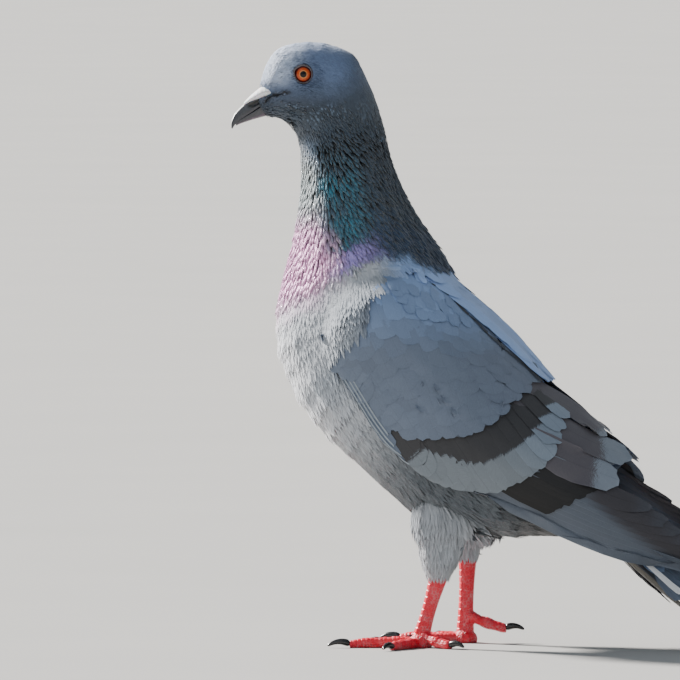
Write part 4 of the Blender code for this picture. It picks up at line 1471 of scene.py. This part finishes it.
def lay_coverts(vanes, dice):
    """Rows of lesser and median coverts, from the shoulder to the front bar."""
    p = plumage()
    start, end = curve(COVERTS_START, 60), curve(BAR_TOP, 60)
    for row in range(1, COVERT_ROWS + 1):
        share = (row / COVERT_ROWS) ** 1.08
        line = start + (end - start) * share
        length = np.linalg.norm(np.diff(line, axis=0), axis=1).sum()
        last = row == COVERT_ROWS
        step = 5.4 if last else 4.8 + 3.6 * share**2
        count = max(int(round(length / step)), 4)
        for i in range(count + 1):
            at = min(max((i + (0.5 if row % 2 else 0.0)) / count + dice.normal(0, 0.09) / count, 0.0), 1.0)
            way = along(end, at) - along(start, at)
            gap = np.linalg.norm(way) / COVERT_ROWS
            if not last and int(row * gap / 2.4) == int((row - 1) * gap / 2.4):
                continue
            way = unit(way) if gap > 0.5 else np.array([0.66, -0.75])
            reach = np.clip(gap * 2.8, 10.0, 26.0) * dice.uniform(0.95, 1.05)
            tip = along(line, at) + way * dice.normal(0, 0.7 if not last else 0.4)
            inside = tip[0] - shoulder_line(tip[1])
            high = ramp(tip[1], 130, 138)
            if inside < 2.0 + 5.0 * high:
                continue
            side = np.array([-way[1], way[0]])
            root = tip - way * reach + side * dice.normal(0, 0.3)
            raised = (dice.random() < SHARE_RAISED) * dice.uniform(0.03, 0.14)
            sunk = (1.3 + 1.5 * high) * fall(inside, 2.0, 9.0 + 7.0 * high)
            tip_drop = -0.075 - 0.5 * sunk + raised + dice.normal(0, 0.035)
            drop = (-1.3 - sunk, -0.10 - 0.8 * sunk + 0.3 * raised, tip_drop)
            # higher rows take the back's blue, partly painted sky light where the wing faces up
            blue = fall(tip[1], 112, 146)
            tint = varied(mixed(p.back * 0.86, p.coverts, blue), dice, 0.02)
            vanes.lay(
                vanes.side_path(straight(root, tip)), step * 0.88, drop, look(tint),
                rows=9 if row > 7 else 7, columns=8 if row > 7 else 6, slant=0.004, thickness=0.07,
                round_tip=1.1 if last else 0.62, ragged=0.03 if last else 0.012,
            )


def lay_raised_coverts(vanes, dice):
    """Three rows of small feathers below the mantle, whose tips stand off the wing."""
    p = plumage()
    line, way = curve(RAISED_TIPS, 40), unit(np.array([0.42, -0.90]))
    for layer in range(3):
        for i in range(10):
            at = np.clip((i + 0.5 * (layer % 2) + dice.normal(0, 0.12)) / 9.5, 0, 1)
            tip = along(line, at) - way * (9.0 - 4.5 * layer + dice.normal(0, 0.6))
            root = tip - way * 10.0
            high = 0.12 + 0.34 * (layer == 2) + dice.normal(0, 0.05)
            tint = varied(mixed(p.back * 0.8, p.coverts, 0.35), dice, 0.03)
            vanes.lay(
                vanes.side_path(straight(root, tip)), 2.5, (-0.9, 0.1, high), look(tint),
                rows=7, slant=0.02, thickness=0.15, round_tip=0.8, ragged=0.03,
            )


def lay_edge_coverts(vanes, dice):
    """Alula and primary coverts, long and narrow along the wing's lower front edge."""
    p = plumage()
    edge = curve(LOWER_EDGE, 80)
    inward_way = unit(np.gradient(edge, axis=0)) @ np.array([[0.0, 1.0], [-1.0, 0.0]])
    for layer, inward in enumerate((-0.6, 0.9, 2.4, 3.9)):
        line = edge + inward_way * inward
        for tip in (27 + 2 * layer, 40 - layer, 50 - 4 * layer):
            root = max(tip - 26, 0)
            tint = varied(mixed(p.coverts, p.tail, 0.30 - 0.05 * layer), dice, 0.03)
            high = -0.35 + 0.10 * layer
            vanes.lay(
                vanes.side_path(line[root : tip + 1 : 5], 12), 1.5, (high - 0.7, high - 0.1, high), look(tint),
                rows=10, columns=4, slant=0.12, round_tip=2.6,
            )
            rim = (edge + inward_way * (inward - 1.1))[root + 1 : tip : 4]
            vanes.lay(
                vanes.side_path(rim, 10), 0.32, (high - 0.1, high + 0.25, high + 0.2), look(p.pale_tips * 1.7),
                rows=10, columns=2, thickness=0.2,
            )


def lay_greater_coverts(vanes, dice):
    """One row of long coverts that carry the front bar and end in pale grey."""
    p = plumage()
    tips = curve(PALE_TIPS, 60)
    for i in range(GREATER_COVERTS):
        at = i / (GREATER_COVERTS - 1)
        tip = along(tips, at)
        way = slope_of(math.radians(50 + 9 * math.sin(math.pi * min(at * 1.1, 1)) - 6 * at))
        reach = 36.0
        root = tip - way * reach
        pale = np.interp(at, (0, 0.12, 0.3, 0.5, 0.8, 1), (1.0, 8.0, 13.5, 14.5, 12.5, 8.5)) + dice.normal(0, 0.3)
        band = (0.25, 1 - pale / reach, 1.0)
        pale_tint = mixed(p.pale_tips, p.pale_tips * (1.3, 1.4, 1.55), ramp(at, 0.6, 0.95))
        shown = look(p.coverts, varied(pale_tint, dice, 0.025), p.bar, band)
        vanes.lay(
            vanes.side_path(straight(root, tip), 12), 5.4, (-1.9, -0.95 + 0.015 * i, -0.12 + 0.018 * i),
            shown, rows=12, columns=8, slant=0.03, thickness=0.2, ragged=0.016, patch=0.006,
        )


def lay_secondaries(vanes, _):
    """The dark secondaries of the second bar, and three tertials over them."""
    p = plumage()
    for i in range(SECONDARIES):
        at = i / (SECONDARIES - 1)
        tip = between([56.0, 57.6], [75.0, 67.5], at)
        angle = math.radians(29 - 7 * at)
        way = slope_of(angle)
        middle = tip - way * 26 + np.array([0.0, 1.5 * at])
        root = middle - slope_of(angle + 0.35) * 24
        shade = p.bar * (0.20 + 0.2 * at)
        high = -1.55 + 0.07 * i
        vanes.lay(
            vanes.side_path([root, middle, tip], 14), 5.2, (high - 0.5, high, high + 0.55), look(shade),
            rows=12, slant=0.07, round_tip=0.8, patch=0.005,
        )
    tertials = [
        ([(34, 93), (56, 78), (78.5, 68.0)], 8.0, 0.80, -0.15),
        ([(33, 104), (57, 88.5), (80.5, 75.6)], 8.2, 0.76, -0.06),
        ([(30, 113), (50, 100), (70.5, 85.2)], 7.0, 0.93, 0.02),
    ]
    for line, half_width, grey, high in tertials:
        shown = look(p.tertials, p.pale_tips * (1.2, 1.22, 1.3), p.tertials, (0.0, grey, 1.0))
        vanes.lay(
            vanes.side_path(line, 16), half_width, (high - 1.4, high - 0.5, high), shown,
            rows=14, columns=8, slant=0.03, patch=0.006,
        )


def lay_primaries(vanes, dice):
    """Ten primaries, the innermost on top, their tips stepping back to the wing's point."""
    p = plumage()
    upper = curve([(91.5, 57.0), (102, 49.0), (113.5, 41.0), (124, 34.0), (132, 28.8), (138.2, 25.0)], 40)
    for i in range(PRIMARIES):
        at = i / (PRIMARIES - 1)
        tip = along(upper, at**0.85)
        root, middle = between([22.0, 86.0], [8.0, 71.0], at), between([60.0, 70.5], [71.0, 43.2], at)
        middle2 = (middle + tip) / 2 + np.array([0.0, -1.2])
        high = -1.0 - 0.12 * i
        tint = varied(p.primaries, dice, 0.03) * (1.0 + 0.1 * at)
        dark = p.tertials * 0.5
        shown = look(tint, dark, dark, (0.66 + 0.16 * at, 0.98, 1.0))
        vanes.lay(
            vanes.side_path([root, middle, middle2, tip], 20), 5.6 - 1.7 * at, (high - 0.4, high, high + 0.4), shown,
            PRIMARY_OUTLINE, rows=16, slant=0.06, round_tip=1.2, thickness=0.4, patch=0.005,
        )


def back_path(surface, line, count):
    """A path on the back from points given as (x, distance down the back)."""
    found = []
    for x, a in curve(line, count):
        start = BACK_ZERO + DOWN_BACK * a + LEFT * x
        found.append(surface.hit(start + OFF_BACK * 60, -OFF_BACK) or surface.nearest(start))
    return as_path(found)


def lay_scapulars(vanes, dice):
    """Smooth long feathers along the back, over the wing's upper edge."""
    p = plumage()
    surface, edge_line = mantle_form()
    vanes.surface = surface
    for column in range(5):
        share, edge = column / 4, column == 4
        front = 13 - 4 * share
        for step in range(8):
            end = min(front + 10 + 9.5 * step + 4.7 * (column % 2) + dice.normal(0, 0.5), 76.0)
            reach = np.interp(end - front, (10, 60), (12.0, 34.0))
            first = max(end - reach, front - 2)
            x, start_x = (1.5 + (np.interp(a, *edge_line) - 5.0) * share for a in (end, first))
            # the back's blue, partly painted sky light
            tint = varied(p.back, dice, 0.02) * (0.9 + 0.14 * share)
            late = 0.45 * ramp(end, 38, 54)
            drop = (-0.9, 0.02 + 0.40 * edge + late, 0.08 + 0.03 * column + 0.45 * edge + late)
            vanes.lay(
                back_path(surface, [(start_x, first), ((start_x + x) / 2, (first + end) / 2), (x, end)], 10),
                5.0, drop, look(tint), sideways=LEFT, rows=10,
                slant=0.005 + 0.05 * edge, thickness=0.1, round_tip=1.5 + 0.4 * edge,
            )
            # a thin dark strip under the mantle's edge: a painted shadow line where the edge stands over the coverts
            if edge and step:
                rim = [(1.45 + np.interp(a, *edge_line), a) for a in np.linspace(max(first, end - 12), end - 1, 4)]
                vanes.lay(
                    back_path(surface, rim, 8), 0.85, (0.0, 0.15 + late, 0.15 + late), look(p.coverts * 0.25),
                    sideways=LEFT, rows=8, columns=2, thickness=0.15,
                )
            if end > 75.9:
                break


# A wing's pieces: name, slot, what lays their feathers, and their material's numbers
WING_LAYERS = (
    ("primaries", "flight_feathers", (lay_primaries,), {"roughness": 0.5, "edge": 0.3, "soft": 0.09}),
    ("secondaries", "flight_feathers", (lay_secondaries,),
     {"roughness": 0.55, "edge": 0.2, "serration": 0.03, "soft": 0.02, "shaft_depth": 0.1}),
    ("greater_coverts", "wing_feathers", (lay_greater_coverts,),
     {"roughness": 0.6, "edge": 0.12, "serration": 0.014, "shaft_depth": 0.12}),
    ("coverts", "wing_feathers", (lay_edge_coverts, lay_coverts, lay_raised_coverts),
     {"roughness": 0.6, "edge": 0.12, "shaft_depth": 0.06}),
    ("scapulars", "wing_feathers", (lay_scapulars,), {"roughness": 0.6, "edge": 0.10, "shaft_depth": 0.08}),
)


def make_wing(side):
    """One wing's feathers, in layers from the primaries up to the scapulars."""
    word, sign = side
    seed = sizes().seed + (11 if sign > 0 else 23)
    dice = np.random.default_rng(seed)
    for step, (layer, slot, ways_to_lay, numbers) in enumerate(WING_LAYERS):
        vanes = Vanes(seed + step, wing_form())
        for lay in ways_to_lay:
            lay(vanes, dice)
        name = layer + "_" + word
        nodes = [name] if layer == "primaries" else []
        vanes.write(name + "_feathers" if nodes else name, vane_material(name, **numbers), slot, sign, nodes)


# Strips down the tail's side: their line as (y, z), half width, height and colour. The first, dark olive, is the
# undertail coverts in painted shade, warmed by painted light bounced from the ground; the second, with no colour, takes
# the white outer web.
TAIL_SIDES = [
    ([(72, 41.5), (84, 32.5), (96, 22.5), (112, 12.5), (132, 6.5), (146, 4.0)], 3.8, 0.25, (0.085, 0.078, 0.060)),
    ([(76, 45.0), (89, 34.6), (103.5, 23.2), (118, 14.5), (134, 8.5), (146, 5.5)], 1.15, 1.1, None),
]


TAIL_BAND = (0.66, 0.955, 1.0)  # where the dark band starts and ends, and how much it shows


def make_tail():
    """Twelve tail feathers in a closed fan, the middle pair on top."""
    p = plumage()
    surface = tail_form()
    vanes = Vanes(sizes().seed + 31, surface)
    for j in np.arange(-5.5, 6.0, 1.0):
        order, sign = abs(j), np.sign(j)
        base_x, tip_x = j * 1.3, j * 3.6
        tip_y = 149.0 - 0.10 * order**2
        line = [(base_x, 84.0), (base_x * 1.3 + 0.2 * tip_x, 104.0), (tip_x * 0.8, 128.0), (tip_x, tip_y)]
        path = [surface.hit((x, y, 80.0), -UP) or surface.nearest((x, y, 10.0)) for x, y in curve(line, 18)]
        high = -0.12 - 0.15 * order
        vanes.lay(
            as_path(path), 6.0, (high - 0.8, high - 0.3, high), look(p.tail, p.tail * 0.7, p.tail_band, TAIL_BAND),
            TAIL_OUTLINE, -sign * LEFT, rows=14, slant=0.02, round_tip=0.75, thickness=0.4, patch=0.01,
        )
        if order == 5.5:
            for line, half_width, lift, shade in TAIL_SIDES:
                path = [
                    surface.hit((90.0 * sign, y, z), -sign * LEFT) or surface.nearest((20 * sign, y, z))
                    for y, z in curve(line, 16)
                ]
                vanes.lay(
                    as_path(path), half_width, (lift - 0.6, lift, lift), look(shade or tuple(p.tail_edge)),
                    sideways=-UP, rows=14, columns=4, thickness=0.3, patch=0.01,
                )
    vanes.write("tail_feathers", vane_material("tail_feathers", 0.5), "tail_feathers", nodes=["tail"])


# --- bare parts


def leg_axis(node, foot):
    """A toe's or shank's middle, and its way out from the foot."""
    points = to_bird(points_of(frame["nodes"][node].data))
    middle = points.mean(axis=0)
    _, _, ways = np.linalg.svd(points - middle, full_matrices=False)
    way = ways[0] * (1 if (middle - foot) @ ways[0] > 0 else -1)
    return middle, way


TOES = ("inner", "middle", "outer", "hind")
SCUTE_LENGTHS = (2.6, 1.75)  # of the plates down the shank, and along the toes


def make_leg(word):
    """The bare shank, foot and toes of one leg as one scaled skin."""
    nodes = ["shank_" + word, "foot_pad_" + word] + ["toe_" + which + "_" + word for which in TOES]
    thing = swollen_union("leg_skin_" + word, nodes, 0.17, sizes().foot_voxel, 5)
    mesh = thing.data
    points, normals = to_bird(points_of(mesh)), normals_of(mesh)
    low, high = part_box("foot_pad_" + word)
    foot = to_bird((np.array(low) + np.array(high)) / 2)
    solids = [frame["nodes"][node].data for node in nodes]
    trees = [tree_over(to_bird(points_of(solid)), triangles_of(solid)) for solid in solids]
    owner = np.array([np.argmin([tree.find_nearest(Vector(point))[3] for tree in trees]) for point in points])
    along, faces_up = np.zeros(len(points)), np.zeros(len(points))
    for index, node in enumerate(nodes):
        if index == 1:
            continue
        middle, way = leg_axis(node, foot)
        mine = owner == index
        along[mine] = (points[mine] - middle) @ way
        top = np.array([0.0, -1.0, 0.15]) if index == 0 else UP
        faces_up[mine] = normals[mine] @ top
    period = np.where(owner == 0, *SCUTE_LENGTHS)
    crease = ramp(np.abs((along / period) % 1.0 - 0.5), 0.39, 0.5)
    scute = ramp(faces_up, 0.15, 0.5) * (owner != 1)
    scute = spread(mesh, scute, 3)
    crease = crease * scute
    knuckles = 0.16 * np.sin(along * 0.9) * (owner > 1)
    move = -0.26 * crease + 0.10 * scute * (1 - crease) + spread(mesh, knuckles, 4)
    above = ramp(points[:, 2], 0.25, 0.9)
    points = points + normals * (move * above)[:, None]
    points[:, 2] = np.maximum(points[:, 2], 0.02)
    move_to(mesh, points)
    store(mesh, "scute", scute)
    store(mesh, "crease", crease)
    unwrap(thing)
    finish(thing, leg_material(), nodes)


def make_claws():
    """Eight claws, rounded and black."""
    b = bare_parts()
    material = horn_material("claw_horn", b.claw, (0.03, 0.03, 0.032), 0.22)
    for word, _ in SIDES:
        for which in TOES:
            node = "claw_" + which + "_" + word
            shape = opened(frame["nodes"][node].data)
            bmesh.ops.remove_doubles(shape, verts=shape.verts, dist=0.02 * MM)
            swell_out(shape, 0.52)
            bmesh.ops.join_triangles(shape, faces=shape.faces, angle_face_threshold=0.7, angle_shape_threshold=3.0)
            thing = make_object(node + "_horn", written(shape, bpy.data.meshes.new(node + "_horn")))
            applied(thing, ("SUBSURF", {"levels": 2, "render_levels": 2}))
            store(thing.data, "ridge", np.zeros(len(thing.data.vertices)))
            finish(thing, material, [node])


def tube(rings, close_ends=True):
    """Points and faces through rings of equally many points."""
    rings = np.array(rings)
    count, around = rings.shape[:2]
    index = np.arange(count * around).reshape(count, around)
    faces = quads(np.c_[index, index[:, :1]]).tolist()
    points = rings.reshape(-1, 3)
    if close_ends:
        points = np.vstack([points, rings[0].mean(axis=0), rings[-1].mean(axis=0)])
        last = count * around
        faces += [((i + 1) % around, i, last) for i in range(around)]
        faces += [(last - around + i, last - around + (i + 1) % around, last + 1) for i in range(around)]
    return points, faces


def outward(mesh):
    """Make a closed mesh's faces point out."""
    shape = opened(mesh)
    bmesh.ops.recalc_face_normals(shape, faces=shape.faces)
    if shape.calc_volume(signed=True) < 0:
        bmesh.ops.reverse_faces(shape, faces=shape.faces)
    return written(shape, mesh)


# The bill's outlines in side view: forward and height on the turned head
RIDGE = [(21, 225), (26, 223.2), (30.6, 219.6), (35, 215.8), (38, 212.4), (39.5, 208.8), (39.5, 206.6)]
GAPE = [(19, 219.6), (23.7, 218.2), (28.6, 214.4), (33.2, 211.4), (36.2, 209.4), (38, 207.8), (39, 206.2)]
CHIN = [(18, 213), (24.5, 211.6), (29.6, 210.3), (34, 208.9), (36.2, 208.1), (37.4, 207.5)]


def bill_piece(name, top, bottom, widths, node, section, dents):
    """Half of the bill between its upper and lower line.

    section(rise) gives the width at a share of the way up. dents(forward, height) pushes in."""
    count, around = 46, 36
    upper, lower = curve(top, count), curve(bottom, count)
    half = curve([(i, w) for i, w in enumerate(widths)], count)[:, 1]
    rise = np.r_[np.linspace(0, 1, around // 2) ** 1.3, 1 - np.linspace(0, 1, around // 2) ** 0.75]
    sides = np.r_[np.ones(around // 2), -np.ones(around // 2)]
    rings, ridge, slit = [], [], []
    for i in range(count):
        spot = lower[i] + (upper[i] - lower[i]) * rise[:, None]
        side = half[i] * sides * section(rise) * (1 - dents(spot[:, 0], spot[:, 1]) * 0.38)
        rings.append(face_points(spot[:, 0], side, spot[:, 1]))
        # ridge: the top of the upper bill painted pale as a highlight; the lower bill a little paler along its
        # underside
        ridge.append(ramp(rise, 0.84, 1.0) * 0.95 if top is RIDGE else 0.08 * fall(rise, 0.0, 0.3))
        # slit: darkness painted in the nostril as shade in its recess
        slit.append(np.minimum(dents(spot[:, 0], spot[:, 1]) * 1.6, 1.0))
    points, faces = tube(rings)
    mesh = outward(mesh_from(name, points, faces))
    store(mesh, "ridge", np.r_[np.concatenate(ridge), 0.0, 0.5])
    store(mesh, "slit", np.r_[np.concatenate(slit), 0.0, 0.0])
    return finish(make_object(name, mesh), bill_material(), [node])


@functools.lru_cache
def bill_material():
    b = bare_parts()
    return horn_material("bill_horn", b.bill, b.bill_ridge_highlight, 0.34)


def nostril(forward, height):
    """1 in the slit under the cere's edge, 0 outside it."""
    along = (forward - 29.8) * 0.9 - (height - 216.4) * 0.42
    across = (forward - 29.8) * 0.42 + (height - 216.4) * 0.9
    return np.exp(-((along / 2.9) ** 4) - ((across / 0.85) ** 4))


def make_bill():
    """Both halves of the bill, the upper one hooked over the lower, and the nostrils."""

    def arched(rise):
        flare = (0.93 + 0.07 * ramp(rise, 0.0, 0.2)) * np.minimum(1, 0.55 + 6 * rise)
        return np.sqrt(np.clip(1 - rise**2.2, 0, 1)) * flare

    def keeled(rise):
        return np.sqrt(np.clip(1 - (1 - rise) ** 2.2, 0, 1)) * np.minimum(1, 0.6 + 5 * (1 - rise))

    bill_piece("bill_upper_horn", RIDGE, GAPE, [4.4, 4.0, 3.4, 2.7, 2.0, 1.2, 0.45], "bill_upper", arched, nostril)
    lower_top = [(forward - 0.2, height + 0.1 + 0.10 * i) for i, (forward, height) in enumerate(GAPE[:-1])]
    bill_piece(
        "bill_lower_horn", lower_top, CHIN, [4.0, 3.7, 3.1, 2.4, 1.7, 0.8], "bill_lower", keeled, lambda f, h: 0 * f
    )


# Down the cere: forward, height, half width, half height
CERE_ROWS = [
    (22.6, 221.0, 5.0, 0.8), (23.4, 221.0, 6.2, 1.8), (25.0, 220.9, 6.3, 2.4), (27.2, 220.6, 5.6, 2.5),
    (29.4, 219.6, 4.7, 1.9), (31.8, 218.2, 3.5, 1.3), (34.4, 216.2, 1.9, 0.7),
]


def make_cere():
    """Two chalky lobes over the nostrils, parted by a furrow, thinning forward."""
    count, around = 30, 40
    rows = curve(CERE_ROWS, count)
    angles = np.linspace(0, 2 * math.pi, around, endpoint=False)
    rings = []
    for forward, height, half_width, half_height in rows:
        side = half_width * np.cos(angles)
        furrow = 0.30 * np.exp(-((side / 0.9) ** 2)) * (np.sin(angles) > 0)
        lobes = 1 + 0.12 * np.exp(-(((np.abs(side) - 0.55 * half_width) / (0.3 * half_width)) ** 2))
        up = half_height * np.sin(angles) * np.where(np.sin(angles) > 0, lobes - furrow, 0.9)
        ripple = 0.04 * np.sin(forward * 4.1 + 2.0 * np.cos(angles)) * np.sin(3 * angles)
        rings.append(face_points(forward + 0.0 * side, side * (1 + ripple), height + up + ripple))
    points, faces = tube(rings)
    thing = make_object("cere_skin", outward(mesh_from("cere_skin", points, faces)))
    relax(thing.data, 2)
    unwrap(thing)
    finish(thing, cere_material(), ["cere"])


def make_eyes():
    """Both eyes as domes with a painted iris, each in a ring of bare lid."""
    material, lid = eye_material(), lid_material()
    around = 48
    angles = np.linspace(0, 2 * math.pi, around, endpoint=False)
    ball = (EYE_RADIUS**2 + EYE_DOME**2) / (2 * EYE_DOME)
    for word, sign in SIDES:
        rings, vane = [], []
        for share in np.r_[np.linspace(0.02, 1.0, 16), 1.0]:
            radius = EYE_RADIUS * share
            inset = ball - math.sqrt(ball**2 - radius**2)
            rings.append((radius, EYE_FRONT_X - inset))
            vane.append(share)
        rings.append((EYE_RADIUS * 0.9, EYE_FRONT_X - EYE_DOME - 2.0))
        vane.append(1.0)
        placed = [
            face_points(EYE_FORWARD + r * np.cos(angles), sign * x, EYE_HEIGHT + r * np.sin(angles)) for r, x in rings
        ]
        points, faces = tube(placed)
        mesh = outward(mesh_from("eye_" + word + "_ball", points, faces))
        radial = np.r_[np.repeat(vane, around), 0.0, 1.0]
        turn = np.r_[np.tile(np.arange(around) / around, len(vane)), 0.5, 0.5]
        write_map(mesh, "vane", np.stack([radial, turn], axis=1))
        finish(make_object("eye_" + word + "_ball", mesh), material, ["eye_" + word])

        rings = []
        for turn in np.linspace(0, 2 * math.pi, 64, endpoint=False):
            pinch = 1.0 + 0.10 * max(math.cos(turn - math.radians(20)), 0) ** 12
            ring = []
            for a in np.linspace(0, 2 * math.pi, 12, endpoint=False):
                radius = (EYE_RADIUS + 0.05 + 0.42 * math.cos(a)) * pinch
                x = EYE_FRONT_X - EYE_DOME + 0.40 + 0.42 * math.sin(a) - 0.25 * math.cos(a)
                ring.append((EYE_FORWARD + radius * math.cos(turn), sign * x, EYE_HEIGHT + radius * math.sin(turn)))
            ring = np.array(ring)
            rings.append(face_points(ring[:, 0], ring[:, 1], ring[:, 2]))
        rings.append(rings[0])
        points, faces = tube(rings, close_ends=False)
        shape = opened(mesh_from("lids", points, faces))
        bmesh.ops.remove_doubles(shape, verts=shape.verts, dist=0.001 * MM)
        mesh = written(shape, bpy.data.meshes.new("lids_" + word))
        finish(make_object("lids_" + word, outward(mesh)), lid)


# --- stage

CAMERA_AZIMUTH, CAMERA_ELEVATION = 104.0, 2.3
CAMERA_DISTANCE = 6.0
FRAME_WIDTH = 0.272  # of what the camera sees at the bird
LOOK_RIGHT, LOOK_UP = -0.040, 0.122  # of the view's middle, from the bird's own zero


def make_stage():
    """A pale floor, two soft suns, an even sky and the camera."""
    shape = bmesh.new()
    bmesh.ops.create_circle(shape, cap_ends=True, radius=60.0, segments=64)
    floor = make_object("floor", written(shape, bpy.data.meshes.new("floor")))
    floor.data.materials.append(floor_material())

    for name, way, strength, softness, colour in (
        ("key_sun", (-0.32, -0.77, 0.55), 14.5, 8.0, (1.0, 0.97, 0.93)),
        ("fill_sun", (0.80, -0.20, 0.55), 0.45, 50.0, (0.90, 0.95, 1.0)),
    ):
        light = bpy.data.lights.new(name, "SUN")
        light.energy, light.angle, light.color = strength, math.radians(softness), colour
        make_object(name, light).rotation_euler = Vector(way).to_track_quat("Z", "Y").to_euler()

    world = bpy.data.worlds.new("sky")
    world.use_nodes = True
    colour, strength = world.node_tree.nodes["Background"].inputs[:2]
    colour.default_value, strength.default_value = (0.80, 0.90, 1.0, 1.0), 0.40
    bpy.context.scene.world = world

    azimuth, elevation = math.radians(CAMERA_AZIMUTH), math.radians(CAMERA_ELEVATION)
    right = Vector((math.cos(azimuth), math.sin(azimuth), 0.0))
    level = math.cos(elevation)
    back = Vector((math.sin(azimuth) * level, -math.cos(azimuth) * level, math.sin(elevation)))
    up = back.cross(right)
    data = bpy.data.cameras.new("camera")
    data.sensor_width = 36.0
    data.lens = data.sensor_width * CAMERA_DISTANCE / FRAME_WIDTH
    data.clip_start, data.clip_end = 0.5, 200.0
    camera = make_object("camera", data)
    camera.location = Vector(ORIGIN) + right * LOOK_RIGHT + up * LOOK_UP + back * CAMERA_DISTANCE
    camera.rotation_euler = back.to_track_quat("Z", "Y").to_euler()
    bpy.context.scene.camera = camera


# --- add-on


class PIGEON_OT_skin(bpy.types.Operator):
    """Make the skin under the feathers"""

    bl_idname = "pigeon.skin"
    bl_label = "Skin"

    def execute(self, context):
        make_skin()
        return {"FINISHED"}


class PIGEON_OT_small_coat(bpy.types.Operator):
    """Spread the small feathers of head, neck, breast, back, thighs and tail coverts"""

    bl_idname = "pigeon.small_coat"
    bl_label = "Small feathers"

    def execute(self, context):
        make_small_coat()
        return {"FINISHED"}


class PIGEON_OT_wings(bpy.types.Operator):
    """Lay the feathers of both folded wings"""

    bl_idname = "pigeon.wings"
    bl_label = "Wings"

    def execute(self, context):
        for side in SIDES:
            make_wing(side)
        return {"FINISHED"}


class PIGEON_OT_tail(bpy.types.Operator):
    """Lay the twelve tail feathers"""

    bl_idname = "pigeon.tail"
    bl_label = "Tail"

    def execute(self, context):
        make_tail()
        return {"FINISHED"}


class PIGEON_OT_legs(bpy.types.Operator):
    """Make the scaled legs and the claws"""

    bl_idname = "pigeon.legs"
    bl_label = "Legs and claws"

    def execute(self, context):
        for word, _ in SIDES:
            make_leg(word)
        make_claws()
        return {"FINISHED"}


class PIGEON_OT_bill(bpy.types.Operator):
    """Make both halves of the bill and the cere"""

    bl_idname = "pigeon.bill"
    bl_label = "Bill and cere"

    def execute(self, context):
        make_bill()
        make_cere()
        return {"FINISHED"}


class PIGEON_OT_eyes(bpy.types.Operator):
    """Make the eyes and their lids"""

    bl_idname = "pigeon.eyes"
    bl_label = "Eyes"

    def execute(self, context):
        make_eyes()
        return {"FINISHED"}


class PIGEON_OT_stage(bpy.types.Operator):
    """Make the floor, the light and the camera"""

    bl_idname = "pigeon.stage"
    bl_label = "Stage"

    def execute(self, context):
        make_stage()
        return {"FINISHED"}


OPERATORS = (
    PIGEON_OT_skin,
    PIGEON_OT_small_coat,
    PIGEON_OT_wings,
    PIGEON_OT_tail,
    PIGEON_OT_legs,
    PIGEON_OT_bill,
    PIGEON_OT_eyes,
    PIGEON_OT_stage,
)


class PIGEON_PT_panel(bpy.types.Panel):
    """Lists what the model is made of, with its sizes and colours"""

    bl_label = "Pigeon"
    bl_idname = "PIGEON_PT_panel"
    bl_space_type = "VIEW_3D"
    bl_region_type = "UI"
    bl_category = "Pigeon"

    def draw(self, context):
        for operator in OPERATORS:
            self.layout.operator(operator.bl_idname)
        scene = context.scene
        for group in (scene.pigeon_sizes, scene.pigeon_plumage, scene.pigeon_bare_parts):
            box = self.layout.box()
            for key in group.bl_rna.properties.keys():
                if key not in ("rna_type", "name"):
                    box.prop(group, key)


CLASSES = (PigeonPlumage, PigeonBareParts, PigeonSizes, *OPERATORS, PIGEON_PT_panel)


def register():
    for item in CLASSES:
        bpy.utils.register_class(item)
    bpy.types.Scene.pigeon_plumage = PointerProperty(type=PigeonPlumage)
    bpy.types.Scene.pigeon_bare_parts = PointerProperty(type=PigeonBareParts)
    bpy.types.Scene.pigeon_sizes = PointerProperty(type=PigeonSizes)


def unregister():
    del bpy.types.Scene.pigeon_sizes
    del bpy.types.Scene.pigeon_bare_parts
    del bpy.types.Scene.pigeon_plumage
    for item in reversed(CLASSES):
        bpy.utils.unregister_class(item)


def main():
    register()
    bpy.ops.pigeon.skin()
    bpy.ops.pigeon.small_coat()
    bpy.ops.pigeon.wings()
    bpy.ops.pigeon.tail()
    bpy.ops.pigeon.legs()
    bpy.ops.pigeon.bill()
    bpy.ops.pigeon.eyes()
    bpy.ops.pigeon.stage()


if __name__ == "__main__":
    main()
